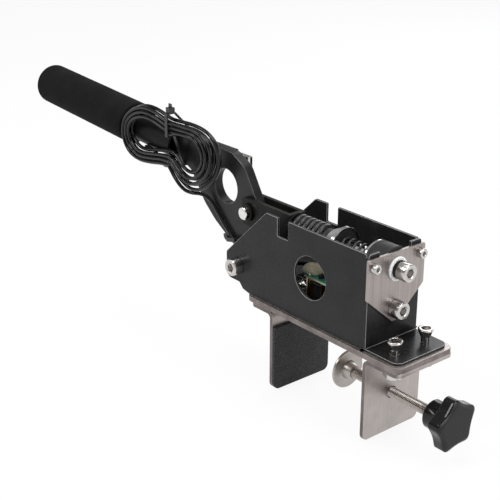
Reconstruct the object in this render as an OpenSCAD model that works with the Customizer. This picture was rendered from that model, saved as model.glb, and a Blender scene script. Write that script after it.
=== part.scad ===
// Sim racing handbrake: folded steel housing on a table clamp, with a pull lever that works
// two springs through a push rod. X runs toward the clamp knob, Z is up.
// The origin is the middle of the underside of the base plate.

/* [Housing] */
// Width over the side walls
housing_w = 50; // [46:1:60]
// Thickness of the folded sheet
sheet_t = 2; // [1.5:0.5:3]
// Height of the wall top above the origin
wall_top = 74; // [72:1:80]
// Front face of the housing
front_x = 45; // [40:1:50]
// Length of the floor toe in front of the housing
toe_len = 30; // [26:1:34]
// Radius of the round window in each side wall
window_r = 16; // [10:1:18]
// Distance of the window centre behind the front face
window_back = 56.3; // [50:1:60]
// Height of the window centre
window_z = 39; // [36:1:42]

/* [Base plate and brackets] */
// Thickness of the base plate
base_t = 4; // [3:0.5:6]
// Width of the base plate and the brackets
base_w = 55; // [54:1:64]
// Rear end of the base plate
base_rear = 79; // [78:1:84]
// Front end of the base plate
base_front = 78; // [77:1:84]
// Thickness of the bracket steel
bracket_t = 3; // [2:0.5:4]
// Depth of the bracket legs below the base plate
leg_depth = 63.5; // [55:1:75]
// Rear face of the front bracket's leg
front_leg_x = 45.5; // [42:1:48]
// Front face of the rear bracket's leg
rear_leg_x = -48; // [-52:1:-46]
// Thickness of the rubber pad
pad_t = 3; // [2:0.5:4]
// Top edge of the rubber pad below the base plate
pad_top = 12; // [8:1:16]

/* [Clamp] */
// Depth of the clamp screw's axis below the base plate
clamp_depth = 34; // [30:1:38]
// Thread size of the clamp screw
clamp_d = 8; // [6:1:8]
// Diameter of the pressure disc
disc_d = 29; // [24:1:32]
// Jaw opening between the rubber pad and the disc as drawn
jaw_gap = 48; // [40:1:55]
// Radius over the lobes of the knob
knob_r = 20; // [16:1:24]
// Depth of the hollows between the lobes
knob_valley = 4.8; // [4:0.1:6]
// Thickness of the lobed part of the knob
knob_t = 10.5; // [8:0.5:14]
// Distance from the front bracket's leg to the knob
knob_gap = 37; // [32:1:45]

/* [Push rod and springs] */
// Height of the push rod's axis
rod_z = 59; // [58:0.5:60]
// Diameter of the push rod
rod_d = 8; // [6:1:8]
// Radius of the damper
damper_r = 14.7; // [12:0.1:14.8]
// Length of the damper behind the front face
damper_len = 15.5; // [12:0.5:18]
// Outer diameter of the soft spring
soft_d = 16; // [14:0.5:18]
// Wire diameter of the soft spring
soft_wire = 2; // [1.6:0.1:2.2]
// Turns of the soft spring
soft_turns = 5.5; // [5:0.5:8]
// Free space for the soft spring
soft_len = 31; // [28:1:33]
// Outer diameter of the stiff spring
stiff_d = 22; // [20:0.5:24]
// Wire diameter of the stiff spring
stiff_wire = 4.2; // [3.6:0.1:4.4]
// Turns of the stiff spring
stiff_turns = 5.6; // [5:0.1:5.8]
// Length of the stiff spring
stiff_len = 31; // [29:0.5:33]
// Radius of the spring cup's rim
cup_r = 14.5; // [12:0.5:16]

/* [Lever] */
// Thickness of the lever plate
lever_t = 8; // [6:0.5:8]
// Height of the lever's pivot
pivot_z = 23; // [21:0.5:25]
// Place of the lever's pivot
pivot_x = -91; // [-93:0.5:-89]
// Place of the pin that joins the lever and the push rod
pin_x = -100.5; // [-102:0.5:-99]
// Diameter of that pin
pin_d = 10; // [8:0.5:10]
// Radius of the lightening hole
hole_r = 14; // [8:1:16]
// Outer diameter of the handle tube
tube_d = 25; // [24:0.5:26]
// Wall of the handle tube
tube_wall = 2; // [1.5:0.5:2]
// Slope of the handle above level
handle_rise = 3.71; // [2:0.01:6]
// Outer diameter of the foam grip
grip_d = 36; // [30:1:40]
// Length of the foam grip
grip_len = 142; // [110:1:160]

/* [Cable] */
// Diameter of the cable
cable_d = 3; // [2.6:0.1:3]
// Turns in each of the two layers of the hank
hank_turns = 3; // [2:1:3]

/* [Hidden] */
$fn = 48;
gap = 0.3;
run_gap = 0.05;
slide_gap = 0.1;
half_w = housing_w / 2;
wall_in = half_w - sheet_t;
base_half = base_w / 2;
floor_z = base_t;
floor_top = base_t + sheet_t;

// screws and nuts, by thread: head diameter, head height, nut width, nut height, hex socket
m8_head_d = 13;
m8_head_h = 8;
m8_nut_w = 13;
m8_nut_h = 6.5;
m8_key = 6;
m6_nut_w = 10;
m6_nut_h = 5;
m6_key = 4;
m4_head_d = 7;
m4_head_h = 4;
m4_key = 3;

// base bolts in front and behind
bolt_d = 6;
bolt_y = 15;
bolt_x = 62.4;
rear_bolt_x = -62;
rear_flange_len = 25.6;
bolt_head_d = 10.8;
bolt_cone = 5.4;
bolt_top = 16.3;
bolt_key = 6;
base_nut_w = 12.5;
base_nut_h = 8;
button_h = 3.3;
button_d = 10.5;
bolt_end = 2;

// side wall outline behind the front face
top_corner_r = 2;
notch_front = -34.9;
notch_rear = -46.4;
notch_deep = 14.1;
slope_top_x = -59.1;
slope_end_x = -105.3;
slope_end_z = 30.5;
lobe_z = 9.8;
lobe_r = 6;
lobe_front_x = -89.8;
floor_rear_x = -79;

// damper seat in the front wall
seat_r = 14.8;
plate_t = 2;
plate_x = front_x + plate_t;
plate_half = 27;
plate_top = 71.3;
plate_shoulder = 42;
plate_foot = 20.5;
plate_foot_half = 2.5;
screw_y = 22;
screw_z = 64.8;
lower_z = 29.8;
window_x = front_x - window_back;

// stations along the push rod
bush_r = 8.5;
bush_flange = 1.7;
bush_body_r = 6;
bush_deep = 5;
washer_r = 6.5;
washer_t = 2.6;
bush_face = plate_x + bush_flange;
head_back = bush_face + washer_t;
damper_back = front_x - damper_len;
rim_t = 1.5;
soft_front = damper_back - rim_t;
pad_face = soft_front - soft_len;
cup_pad_t = 1;
cup_disc_t = 1.2;
cup_rim_t = 2;
cone_len = 9;
neck_len = 6;
neck_r = 8.5;
cup_plane = pad_face - cup_pad_t;
cone_back = cup_plane - cup_disc_t - cone_len;
neck_back = cone_back - neck_len;
seat_washer_t = 1.5;
seat_washer_r = 11.4;
stiff_back = neck_back - stiff_len;
web_front = stiff_back - seat_washer_t;
web_t = 4;

// fork that joins the push rod to the lever
fork_in = lever_t / 2 + 0.5;
fork_out = fork_in + 3.5;
fork_half_h = 10.8;
fork_rear_run = 7;
fork_rear = pin_x - fork_rear_run;
pin_rise = 1.3;
pin_half = 13.9;
ring_r = 7;
ring_t = 2;

// lever outline, from the top of the arm round by the front to the rear edge
hole_x = -132.2;
hole_z = 70.8;
bush_out_r = 6;
spacer_r = 7;
handle_x = -255.3;
handle_z = 92.8;
arm_end_x = -197;
tube_front = (arm_end_x - handle_x) / cos(handle_rise) - 0.05;
tongue_len = 29;
tongue_h = 19.2;
grip_start = 4.7;
grip_end_t = 5.7;
tube_rear = grip_start + grip_len - grip_end_t;

// lever outline after the end of the arm, and the radii of its corners
lever_shape = [
    [-160, 100.9], [-124.5, 99.4], [-109.5, 91.5], [-89.3, 59], [-88.5, 46], [-78.5, 27],
    [-82, 12], [-97, 10.6], [-110, 17], [-146.7, 38.8], [-160.5, 50.5], [-177, 72.5], [-184.6, 75.9]
];
lever_radii = [60, 16, 14, 25, 20, 9, 10, 10, 18, 40, 30, 14, 6];

// sensor board
board_len = 40;
board_w = 20;
board_t = 1.6;
board_top = 30.6;
board_rear = -33.5;
post_in = 3;
post_r = 2.5;
board_screw_r = 1.25;
board_screw_len = 5;
board_head_r = 2.2;
board_head_h = 1.6;
glue_r = 8.5;
glue_x = -30;
sensor_x = -15;

// cable hank: outermost and innermost turn in X and Z, from the lower run round by the rear,
// with the turns between them spaced evenly, and the step from the near layer to the far one
hank_outer = [
    [-189.8, 76.5], [-211, 73.4], [-228.8, 71.3], [-243.5, 73.5], [-252.3, 80.5], [-255.3, 90.6],
    [-251.5, 102.5], [-240.2, 112.3], [-224.5, 118.4], [-209.5, 119], [-197, 116.8],
    [-185.3, 114.6], [-170.5, 115.1], [-156.1, 115.2], [-142.1, 112.9], [-132, 106.6],
    [-128.1, 97], [-130.2, 86.1], [-138.6, 75], [-153, 66.2], [-167, 64.6], [-179, 69.6]
];
hank_inner = [
    [-186.5, 87], [-203, 85.6], [-220, 82.4], [-230.5, 82.2], [-238.6, 85.8], [-242.8, 92.6],
    [-240, 99.9], [-232, 104.8], [-221.5, 107.4], [-210.5, 107.2], [-199.6, 105],
    [-187.6, 103.3], [-175.5, 103.9], [-165, 105], [-155.8, 103.8], [-149.6, 98.6],
    [-147.4, 92], [-149, 86], [-153.6, 80.6], [-160.5, 77.6], [-168.5, 77.6], [-176.5, 80.8]
];
hank_y = -17.9;
hank_layer = 3.5;
hank_low = 102;
hank_high = 118.7;
hank_rings = 24;
hank_start = [-187.7, hank_y, 75.3];
hank_end = [-192.1, hank_y + hank_layer, 74.5];
strap_t = 1.1;
strap_w = 3.4;
tie_head_w = 5.2;
tie_head_t = 4.2;
tie_tail_len = 3.2;
hump_from = 6;
hump_to = 15;
hump_ramp = 2.5;
hank_tie_x = -187;

// cable routes, points chosen by hand
lead_route = [
    [-34, 0, 33.5], [-40, 0, 33.5], [-46, -2, 33], [-53, -5.5, 32], [-60, -9.5, 31.5],
    [-68, -12, 32.5], [-76, -13, 35.5], [-84, -13, 38], [-92, -12.5, 38], [-100, -11, 34.5],
    [-107, -8.8, 29.5], [-112.5, -6.8, 27], [-117, -6, 28], [-121.2, -5.9, 30.6]
];
riser_route = [
    [-121.55, -5.9, 30.82], [-126, -5.9, 34.4], [-131.3, -5.9, 39], [-137, -5.9, 44],
    [-142.4, -5.9, 49.2], [-147.6, -6.2, 54], [-152.8, -7.8, 57.6], [-158, -10.1, 58.9],
    [-163.4, -12.9, 58.7], [-168.5, -15.7, 59.8], [-173.5, -17.5, 62.9], [-178.5, -18, 66.8],
    [-182.5, -17.95, 70], [-185, -17.9, 72.5], [-187.2, -17.9, 74.9]
];
tail_route = [
    [-193, -14.4, 74.2], [-198, -14.1, 73.3], [-203, -12.7, 72.9], [-208, -11.1, 74.2],
    [-213, -11.1, 77.4], [-218.5, -11.1, 80.4], [-224.5, -11.1, 81.7], [-230, -10.6, 81.3],
    [-235.3, -8, 79.3], [-239, -3.6, 77.4], [-240, 2, 76.6], [-237.6, 7.2, 76.2],
    [-231.6, 10.6, 75.2], [-223.5, 11.4, 74], [-215.5, 11.2, 73.4], [-208.5, 10.6, 73.8],
    [-202, 9.6, 75.4], [-195, 8.6, 78.2], [-189, 8.2, 81.8], [-183.5, 8.2, 85.4],
    [-178.5, 8.2, 88.2], [-175, 8.2, 89.4], [-172, 8.2, 89.5]
];

// Helpers for outlines with rounded corners

function unit(v) = v / norm(v);

// arc that rounds the corner p1 between p0 and p2
function corner_arc(p0, p1, p2, r, n = 6) =
    r <= 0 ? [p1] :
    let (
        a = unit(p0 - p1),
        b = unit(p2 - p1),
        half = acos(a * b) / 2,
        c = p1 + unit(a + b) * r / sin(half),
        s = p1 + a * r / tan(half) - c,
        e = p1 + b * r / tan(half) - c,
        a0 = atan2(s.y, s.x),
        turn = (atan2(e.y, e.x) - a0 + 540) % 360 - 180
    )
    [for (k = [0:n]) c + r * [cos(a0 + turn * k / n), sin(a0 + turn * k / n)]];

function rounded(points, radii) =
    let (n = len(points))
    [
        for (i = [0:n - 1])
            each corner_arc(points[(i + n - 1) % n], points[i], points[(i + 1) % n], radii[i])
    ];

// outline drawn in X and Z, extruded across Y from -half to half
module slab_xz(half) {
    rotate([90, 0, 0])
        linear_extrude(height = 2 * half, center = true)
            children();
}

// outline drawn in Y and Z, extruded along X from x0 to x1
module slab_yz(x0, x1) {
    translate([x0, 0, 0])
        rotate([90, 0, 90])
            linear_extrude(height = x1 - x0)
                children();
}

// round rod along X
module rod_x(x0, x1, r, y = 0, z = 0) {
    translate([x0, y, z])
        rotate([0, 90, 0])
            cylinder(h = x1 - x0, r = r);
}

// round rod along Y
module rod_y(y0, y1, r, x = 0, z = 0) {
    translate([x, y1, z])
        rotate([90, 0, 0])
            cylinder(h = y1 - y0, r = r);
}

// hexagon along X, flats apart by w
module hex_x(x0, x1, w, y = 0, z = 0) {
    translate([x0, y, z])
        rotate([0, 90, 0])
            cylinder(h = x1 - x0, r = w / sqrt(3), $fn = 6);
}

// socket head screw along X with its head on the plus side of x0
module socket_screw_x(x0, head_d, head_h, key, shank_d, shank_len, y, z) {
    difference() {
        rod_x(x0, x0 + head_h, head_d / 2, y, z);
        hex_x(x0 + head_h * 0.45, x0 + head_h + 1, key, y, z);
    }
    rod_x(x0 - shank_len, x0, shank_d / 2, y, z);
}

// Helpers for wound and routed tubes

function ring(centre, across, along, r, sides, turn) =
    [for (k = [0:sides - 1])
        centre + r * (across * cos(turn + 360 * k / sides) + along * sin(turn + 360 * k / sides))];

function tube_faces(n, sides) = concat(
    [for (k = [1:sides - 2]) [0, k, k + 1]],
    [
        for (i = [0:n - 2], k = [0:sides - 1])
            [i * sides + k, (i + 1) * sides + k, i * sides + (k + 1) % sides]
    ],
    [for (i = [0:n - 2], k = [0:sides - 1])
        [(i + 1) * sides + k, (i + 1) * sides + (k + 1) % sides, i * sides + (k + 1) % sides]],
    [for (k = [1:sides - 2]) [(n - 1) * sides, (n - 1) * sides + k + 1, (n - 1) * sides + k]]
);

// direction of a route at its point i
function route_dir(route, i) =
    let (n = len(route))
    unit(route[min(i + 1, n - 1)] - route[max(i - 1, 0)]);

// point between b and c on the smooth curve through a, b, c and d
function smooth_point(a, b, c, d, t) =
    0.5 * (2 * b + (c - a) * t + (2 * a - 5 * b + 4 * c - d) * t * t + (3 * b - a - 3 * c + d) * t * t * t);

function smooth_route(route, steps) =
    let (n = len(route))
    concat(
        [for (i = [0:n - 2], k = [0:steps - 1])
            smooth_point(
                route[max(i - 1, 0)], route[i], route[i + 1], route[min(i + 2, n - 1)], k / steps
            )],
        [route[n - 1]]
    );

// tube along a route; side keeps the rings from twisting
module route_tube(route, d, sides, side) {
    n = len(route);
    points = [for (i = [0:n - 1])
        let (
            dir = route_dir(route, i),
            across = unit(cross(dir, side)),
            along = cross(dir, across)
        )
        each ring(route[i], across, along, d / 2, sides, 180 / sides)];
    polyhedron(points = points, faces = tube_faces(n, sides), convexity = 10);
}

// rise of a closed-end coil after t turns
function coil_rise(t, turns, len, wire) =
    let (flat = 0.12, slope = (len - wire) / (turns - 2 * flat))
    slope * min(max(t - flat, 0), turns - 2 * flat);

// coil spring along X from x0, wound as one tube with flat ends
module coil_spring(x0, len, od, wire, turns) {
    curl_rings = 8;
    r = (od - wire) / 2;
    n = floor(turns * curl_rings) + 1;
    sides = 6;
    tube_r = wire / 2 / cos(30);
    points = [for (i = [0:n - 1])
        let (
            t = turns * i / (n - 1),
            out = [0, cos(360 * t), sin(360 * t)],
            x = x0 + wire / 2 + coil_rise(t, turns, len, wire)
        )
        each ring([x, 0, rod_z] + r * out, out, [1, 0, 0], tube_r, sides, 0)];
    polyhedron(points = points, faces = tube_faces(n, sides), convexity = 10);
}

// Housing and base

wall_outline = rounded(
    [
        [front_x - sheet_t, floor_z], [front_x - sheet_t, wall_top],
        [notch_front, wall_top], [notch_front, wall_top - notch_deep],
        [notch_rear, wall_top - notch_deep], [notch_rear, wall_top],
        [slope_top_x, wall_top], [slope_end_x, slope_end_z],
        [slope_end_x, lobe_z], [lobe_front_x, lobe_z],
        [lobe_front_x + 4, floor_z + 1.5], [floor_rear_x, floor_z]
    ],
    [0, top_corner_r, 0.8, 1, 1, 0.8, 1.5, 3, lobe_r, 1.5, 3, 0]
);

module housing_wall(side) {
    translate([0, side * (half_w - sheet_t / 2), 0])
        difference() {
            slab_xz(sheet_t / 2) polygon(wall_outline);
            rod_y(-sheet_t, sheet_t, window_r, window_x, window_z);
            rod_y(-sheet_t, sheet_t, rod_d / 2 + slide_gap, pivot_x, pivot_z);
        }
}

toe_outline = rounded(
    [
        [floor_rear_x, -half_w], [front_x + toe_len, -half_w],
        [front_x + toe_len, half_w], [floor_rear_x, half_w]
    ],
    [0, 6, 6, 0]
);

module housing() {
    color("#2b2b2d") {
        housing_wall(-1);
        housing_wall(1);
        difference() {
            translate([0, 0, floor_z]) linear_extrude(height = sheet_t) polygon(toe_outline);
            base_bolt_holes();
        }
        difference() {
            slab_yz(front_x - sheet_t, front_x)
                polygon(rounded(
                    [[-half_w, floor_top], [half_w, floor_top], [half_w, wall_top], [-half_w, wall_top]],
                    [1, 1, top_corner_r, top_corner_r]
                ));
            rod_x(front_x - sheet_t - 1, front_x + 1, seat_r, 0, rod_z);
            translate([front_x - sheet_t - 1, -seat_r, rod_z])
                cube([sheet_t + 2, 2 * seat_r, wall_top - rod_z + 1]);
            rod_x(front_x - sheet_t - 1, front_x + 1, rod_d / 2 + slide_gap, 0, lower_z);
            for (side = [-1, 1])
                rod_x(front_x - sheet_t - 1, front_x + 1, 2 + run_gap, side * screw_y, screw_z);
        }
    }
}

module base_bolt_holes() {
    for (x = [bolt_x, rear_bolt_x], side = [-1, 1])
        translate([x, side * bolt_y, -bracket_t - 1])
            cylinder(h = floor_top + bracket_t + 2, r = bolt_d / 2 + slide_gap);
}

module base_plate() {
    color("#9a958f")
        difference() {
            linear_extrude(height = base_t)
                polygon(rounded(
                    [
                        [-base_rear, -base_half], [base_front, -base_half],
                        [base_front, base_half], [-base_rear, base_half]
                    ],
                    [6, 6, 6, 6]
                ));
            base_bolt_holes();
        }
}

// L bracket with its leg's outer face at x = 0 and its flange toward plus X
module bracket(flange_len) {
    bend_r = 2 * bracket_t;
    profile = rounded(
        [
            [0, -leg_depth], [0, 0], [flange_len, 0],
            [flange_len, -bracket_t], [bracket_t, -bracket_t], [bracket_t, -leg_depth]
        ],
        [0, bend_r, 0, 0, bend_r - bracket_t, 0]
    );
    intersection() {
        slab_xz(base_half) polygon(profile);
        slab_yz(-1, flange_len + 1)
            polygon(rounded(
                [[-base_half, -leg_depth], [base_half, -leg_depth], [base_half, 1], [-base_half, 1]],
                [5, 5, 0, 0]
            ));
        translate([0, 0, -leg_depth - 1])
            linear_extrude(height = leg_depth + 2)
                polygon(rounded(
                    [[-1, -base_half], [flange_len, -base_half], [flange_len, base_half], [-1, base_half]],
                    [0, 5, 5, 0]
                ));
    }
}

module rear_bracket() {
    color("#8f8a84")
        difference() {
            translate([rear_leg_x, 0, 0]) mirror([1, 0, 0]) bracket(rear_flange_len);
            base_bolt_holes();
        }
}

module rear_pad() {
    color("#1d1d1f")
        slab_yz(rear_leg_x, rear_leg_x + pad_t)
            polygon(rounded(
                [
                    [-base_half, -leg_depth], [base_half, -leg_depth],
                    [base_half, -pad_top], [-base_half, -pad_top]
                ],
                [5, 5, 2, 2]
            ));
}

module front_bracket() {
    color("#8f8a84")
        difference() {
            translate([front_leg_x, 0, 0]) bracket(base_front - front_leg_x);
            base_bolt_holes();
            rod_x(
                front_leg_x - 1, front_leg_x + bracket_t + 1,
                clamp_d / 2 + 4 * slide_gap, 0, -clamp_depth
            );
        }
}

// Fasteners of the base

module base_bolts() {
    color("#c9c6c2")
        for (side = [-1, 1])
            translate([bolt_x, side * bolt_y, 0])
                difference() {
                    union() {
                        translate([0, 0, bolt_top - 1]) cylinder(h = 1, r = bolt_head_d / 2);
                        translate([0, 0, bolt_top - 1 - bolt_cone])
                            cylinder(h = bolt_cone, r1 = bolt_d / 2 + 0.6, r2 = bolt_head_d / 2);
                        translate([0, 0, -bracket_t - base_nut_h - bolt_end])
                            cylinder(
                                h = bolt_top - 1 - bolt_cone + bracket_t + base_nut_h + bolt_end,
                                r = bolt_d / 2
                            );
                    }
                    translate([0, 0, bolt_top - 4]) cylinder(h = 5, r = bolt_key / sqrt(3), $fn = 6);
                }
}

module nut_z(top, w, h, d) {
    difference() {
        translate([0, 0, top - h]) cylinder(h = h, r = w / sqrt(3), $fn = 6);
        translate([0, 0, top - h - 1]) cylinder(h = h + 2, r = d / 2);
    }
}

module base_nuts() {
    color("#c9c6c2")
        for (side = [-1, 1])
            translate([bolt_x, side * bolt_y, 0]) nut_z(-bracket_t, base_nut_w, base_nut_h, bolt_d);
}

module rear_bolts() {
    color("#c9c6c2")
        for (side = [-1, 1])
            translate([rear_bolt_x, side * bolt_y, 0])
                difference() {
                    union() {
                        translate([0, 0, floor_top]) cylinder(h = button_h, r = button_d / 2);
                        translate([0, 0, -bracket_t - m6_nut_h - bolt_end])
                            cylinder(
                                h = floor_top + bracket_t + m6_nut_h + bolt_end + 1,
                                r = bolt_d / 2
                            );
                    }
                    translate([0, 0, floor_top + 1.5]) cylinder(h = button_h, r = m6_key / sqrt(3), $fn = 6);
                }
}

module rear_nuts() {
    color("#c9c6c2")
        for (side = [-1, 1])
            translate([rear_bolt_x, side * bolt_y, 0]) nut_z(-bracket_t, m6_nut_w, m6_nut_h, bolt_d);
}

// Front plate and its screws

module front_plate() {
    color("#b9b2aa")
        difference() {
            slab_yz(front_x, plate_x)
                polygon(rounded(
                    [
                        [-plate_foot_half, plate_foot], [plate_foot_half, plate_foot],
                        [plate_half, plate_shoulder], [plate_half, plate_top],
                        [-plate_half, plate_top], [-plate_half, plate_shoulder]
                    ],
                    [1.5, 1.5, 2, 2, 2, 2]
                ));
            rod_x(front_x - 1, plate_x + 1, bush_body_r, 0, rod_z);
            rod_x(front_x - 1, plate_x + 1, rod_d / 2 + slide_gap, 0, lower_z);
            for (side = [-1, 1])
                rod_x(front_x - 1, plate_x + 1, 2 + slide_gap, side * screw_y, screw_z);
        }
}

module plate_screws() {
    color("#c9c6c2")
        for (side = [-1, 1])
            socket_screw_x(
                plate_x, m4_head_d, m4_head_h, m4_key, 4, plate_t + sheet_t, side * screw_y, screw_z
            );
}

module lower_bolt() {
    color("#c9c6c2")
        socket_screw_x(
            plate_x, m8_head_d, m8_head_h, m8_key, rod_d,
            plate_t + sheet_t + m8_nut_h + bolt_end, 0, lower_z
        );
}

module lower_nut() {
    color("#c9c6c2")
        difference() {
            hex_x(front_x - sheet_t - m8_nut_h, front_x - sheet_t, m8_nut_w, 0, lower_z);
            rod_x(front_x - sheet_t - m8_nut_h - 1, front_x, rod_d / 2, 0, lower_z);
        }
}

module rod_bush() {
    color("#f1efe8")
        difference() {
            union() {
                rod_x(plate_x, bush_face, bush_r, 0, rod_z);
                rod_x(plate_x - bush_deep - plate_t, plate_x, bush_body_r, 0, rod_z);
            }
            rod_x(plate_x - bush_deep - plate_t - 1, bush_face + 1, rod_d / 2 + run_gap, 0, rod_z);
        }
}

// Damper, springs and the pieces on the push rod

module damper() {
    color("#1b1b1c")
        difference() {
            rod_x(damper_back, front_x, damper_r, 0, rod_z);
            rod_x(damper_back - 1, front_x + 1, rod_d / 2 + 0.5, 0, rod_z);
            rod_x(plate_x - bush_deep - plate_t, front_x + 1, bush_body_r, 0, rod_z);
        }
}

module damper_washer() {
    color("#d4d2cf")
        difference() {
            rod_x(soft_front, damper_back, damper_r, 0, rod_z);
            rod_x(soft_front - 1, damper_back + 1, rod_d / 2 + 0.5, 0, rod_z);
        }
}

module soft_spring() {
    color("#202022") coil_spring(pad_face, soft_len, soft_d, soft_wire, soft_turns);
}

module stiff_spring() {
    color("#303033") coil_spring(stiff_back, stiff_len, stiff_d, stiff_wire, stiff_turns);
}

module spring_cup() {
    color("#d4d2cf")
        difference() {
            union() {
                rod_x(cup_plane - cup_disc_t, cup_plane + cup_rim_t, cup_r, 0, rod_z);
                translate([cone_back, 0, rod_z])
                    rotate([0, 90, 0])
                        cylinder(h = cone_len, r1 = neck_r + 1.5, r2 = cup_r - 0.5);
            }
            rod_x(cup_plane, cup_plane + cup_rim_t + 1, cup_r - 1.5, 0, rod_z);
            rod_x(cone_back - 1, cup_plane + 1, rod_d / 2 + run_gap, 0, rod_z);
        }
}

module cup_pad() {
    color("#18181a")
        difference() {
            rod_x(cup_plane, pad_face, cup_r - 1.6, 0, rod_z);
            rod_x(cup_plane - 1, pad_face + 1, rod_d / 2 + 0.3, 0, rod_z);
        }
}

module neck_sleeve() {
    color("#2a2a2c")
        difference() {
            rod_x(neck_back, cone_back, neck_r, 0, rod_z);
            rod_x(neck_back - 1, cone_back + 1, rod_d / 2 + run_gap, 0, rod_z);
        }
}

module magnet_holder() {
    holder_half = 4;
    holder_h = 5;
    color("#1c1c1e")
        difference() {
            translate([neck_back, -holder_half, rod_z - neck_r - holder_h + 1])
                cube([neck_len, 2 * holder_half, holder_h + 2]);
            rod_x(neck_back - 1, cone_back + 1, neck_r, 0, rod_z);
            translate([neck_back + neck_len / 2, 0, rod_z - neck_r - holder_h])
                cylinder(h = 3, r = 2);
        }
}

module sensor_magnet() {
    color("#b8b8bc")
        translate([neck_back + neck_len / 2, 0, rod_z - neck_r - 4])
            cylinder(h = 2, r = 2);
}

module seat_washer() {
    color("#3a3a3c")
        difference() {
            rod_x(web_front, stiff_back, seat_washer_r, 0, rod_z);
            rod_x(web_front - 1, stiff_back + 1, rod_d / 2, 0, rod_z);
        }
}

module clevis() {
    top = rod_z + fork_half_h;
    bottom = rod_z - fork_half_h;
    side_view = rounded(
        [[fork_rear, bottom], [web_front, bottom], [web_front, top], [fork_rear, top]],
        [3, 1, 1, 3]
    );
    color("#1f1f21")
        difference() {
            slab_xz(fork_out) polygon(side_view);
            translate([fork_rear - 1, -fork_in, bottom - 1])
                cube([web_front - web_t - fork_rear + 1, 2 * fork_in, 2 * fork_half_h + 2]);
            rod_y(-fork_out - 1, fork_out + 1, pin_d / 2 + slide_gap, pin_x, rod_z);
            rod_y(-fork_out - 1, fork_out + 1, pin_d / 2 + slide_gap, pin_x, rod_z + pin_rise);
            translate([pin_x - pin_d / 2 - slide_gap, -fork_out - 1, rod_z])
                cube([pin_d + 2 * slide_gap, 2 * fork_out + 2, pin_rise]);
            rod_x(web_front - web_t - 1, web_front + 1, rod_d / 2, 0, rod_z);
        }
}

module rod_bolt() {
    color("#cfcdca")
        socket_screw_x(
            head_back, m8_head_d, m8_head_h, m8_key, rod_d,
            head_back - web_front + web_t, 0, rod_z
        );
}

module end_washer() {
    color("#4a4745")
        difference() {
            rod_x(bush_face, head_back, washer_r, 0, rod_z);
            rod_x(bush_face - 1, head_back + 1, rod_d / 2, 0, rod_z);
        }
}

// Lever

// points beside the handle's axis, on which the arm ends
function handle_axis_z(x) = handle_z - tan(handle_rise) * (x - handle_x);
tongue_end_x = arm_end_x - tongue_len;
arm_half = tube_d / 2;
arm_rise = [sin(handle_rise), cos(handle_rise)];
arm_end = [arm_end_x, handle_axis_z(arm_end_x)];
tongue_end = [tongue_end_x, handle_axis_z(tongue_end_x)];
lever_outline = rounded(
    concat(
        [arm_end + arm_half * arm_rise],
        lever_shape,
        [
            arm_end - arm_half * arm_rise,
            arm_end - tongue_h / 2 * arm_rise,
            tongue_end - tongue_h / 2 * arm_rise,
            tongue_end + tongue_h / 2 * arm_rise,
            arm_end + tongue_h / 2 * arm_rise
        ]
    ),
    concat([0], lever_radii, [0, 0, 1, 1, 0])
);

module lever_plate() {
    color("#1e1e20")
        difference() {
            slab_xz(lever_t / 2) polygon(lever_outline);
            rod_y(-lever_t, lever_t, hole_r, hole_x, hole_z);
            rod_y(-lever_t, lever_t, pin_d / 2, pin_x, rod_z);
            rod_y(-lever_t, lever_t, bush_out_r, pivot_x, pivot_z);
        }
}

module pivot_bush() {
    color("#a88a55")
        difference() {
            rod_y(-lever_t / 2 - slide_gap, lever_t / 2 + slide_gap, bush_out_r, pivot_x, pivot_z);
            rod_y(-lever_t, lever_t, rod_d / 2 + run_gap, pivot_x, pivot_z);
        }
}

module pivot_bolt() {
    color("#cfcdca")
        difference() {
            union() {
                rod_y(-half_w - m8_head_h, -half_w, m8_head_d / 2, pivot_x, pivot_z);
                rod_y(-half_w, half_w + m8_nut_h + bolt_end, rod_d / 2, pivot_x, pivot_z);
            }
            translate([pivot_x, -half_w - m8_head_h * 0.55, pivot_z])
                rotate([90, 0, 0])
                    cylinder(h = m8_head_h, r = m8_key / sqrt(3), $fn = 6);
        }
}

module pivot_nut() {
    color("#c9c6c2")
        difference() {
            translate([pivot_x, half_w + m8_nut_h, pivot_z])
                rotate([90, 0, 0])
                    cylinder(h = m8_nut_h, r = m8_nut_w / sqrt(3), $fn = 6);
            rod_y(half_w - 1, half_w + m8_nut_h + 1, rod_d / 2, pivot_x, pivot_z);
        }
}

module pivot_spacers() {
    inner_y = lever_t / 2 + 2 * slide_gap;
    color("#7d7a76")
        for (y0 = [-wall_in, inner_y])
            difference() {
                rod_y(y0, y0 + wall_in - inner_y, spacer_r, pivot_x, pivot_z);
                rod_y(y0 - 1, y0 + wall_in, rod_d / 2 + run_gap, pivot_x, pivot_z);
            }
}

module clevis_pin() {
    color("#d9d8d6") rod_y(-pin_half, pin_half, pin_d / 2, pin_x, rod_z);
}

module pin_rings() {
    color("#8d8a86")
        for (y0 = [-fork_out - gap - ring_t, fork_out + gap])
            difference() {
                rod_y(y0, y0 + ring_t, ring_r, pin_x, rod_z);
                rod_y(y0 - 1, y0 + ring_t + 1, pin_d / 2, pin_x, rod_z);
            }
}

// frame with Z along the handle, from its reference point toward its end
module on_handle() {
    translate([handle_x, 0, handle_z])
        rotate([0, -90 + handle_rise, 0])
            children();
}

module handle_tube() {
    color("#242426")
        on_handle()
            difference() {
                translate([0, 0, -tube_front]) cylinder(h = tube_front + tube_rear, r = tube_d / 2);
                translate([0, 0, -tube_front - 1])
                    cylinder(h = tube_front + tube_rear + 2, r = tube_d / 2 - tube_wall);
            }
}

module foam_grip() {
    edge_r = 5;
    r = grip_d / 2;
    end = grip_start + grip_len;
    color("#161617")
        on_handle()
            rotate_extrude()
                polygon(rounded(
                    [
                        [tube_d / 2, grip_start], [r, grip_start], [r, end], [0, end],
                        [0, tube_rear], [tube_d / 2, tube_rear]
                    ],
                    [0, 2, edge_r, 0, 0, 0]
                ));
}

// Clamp

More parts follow.
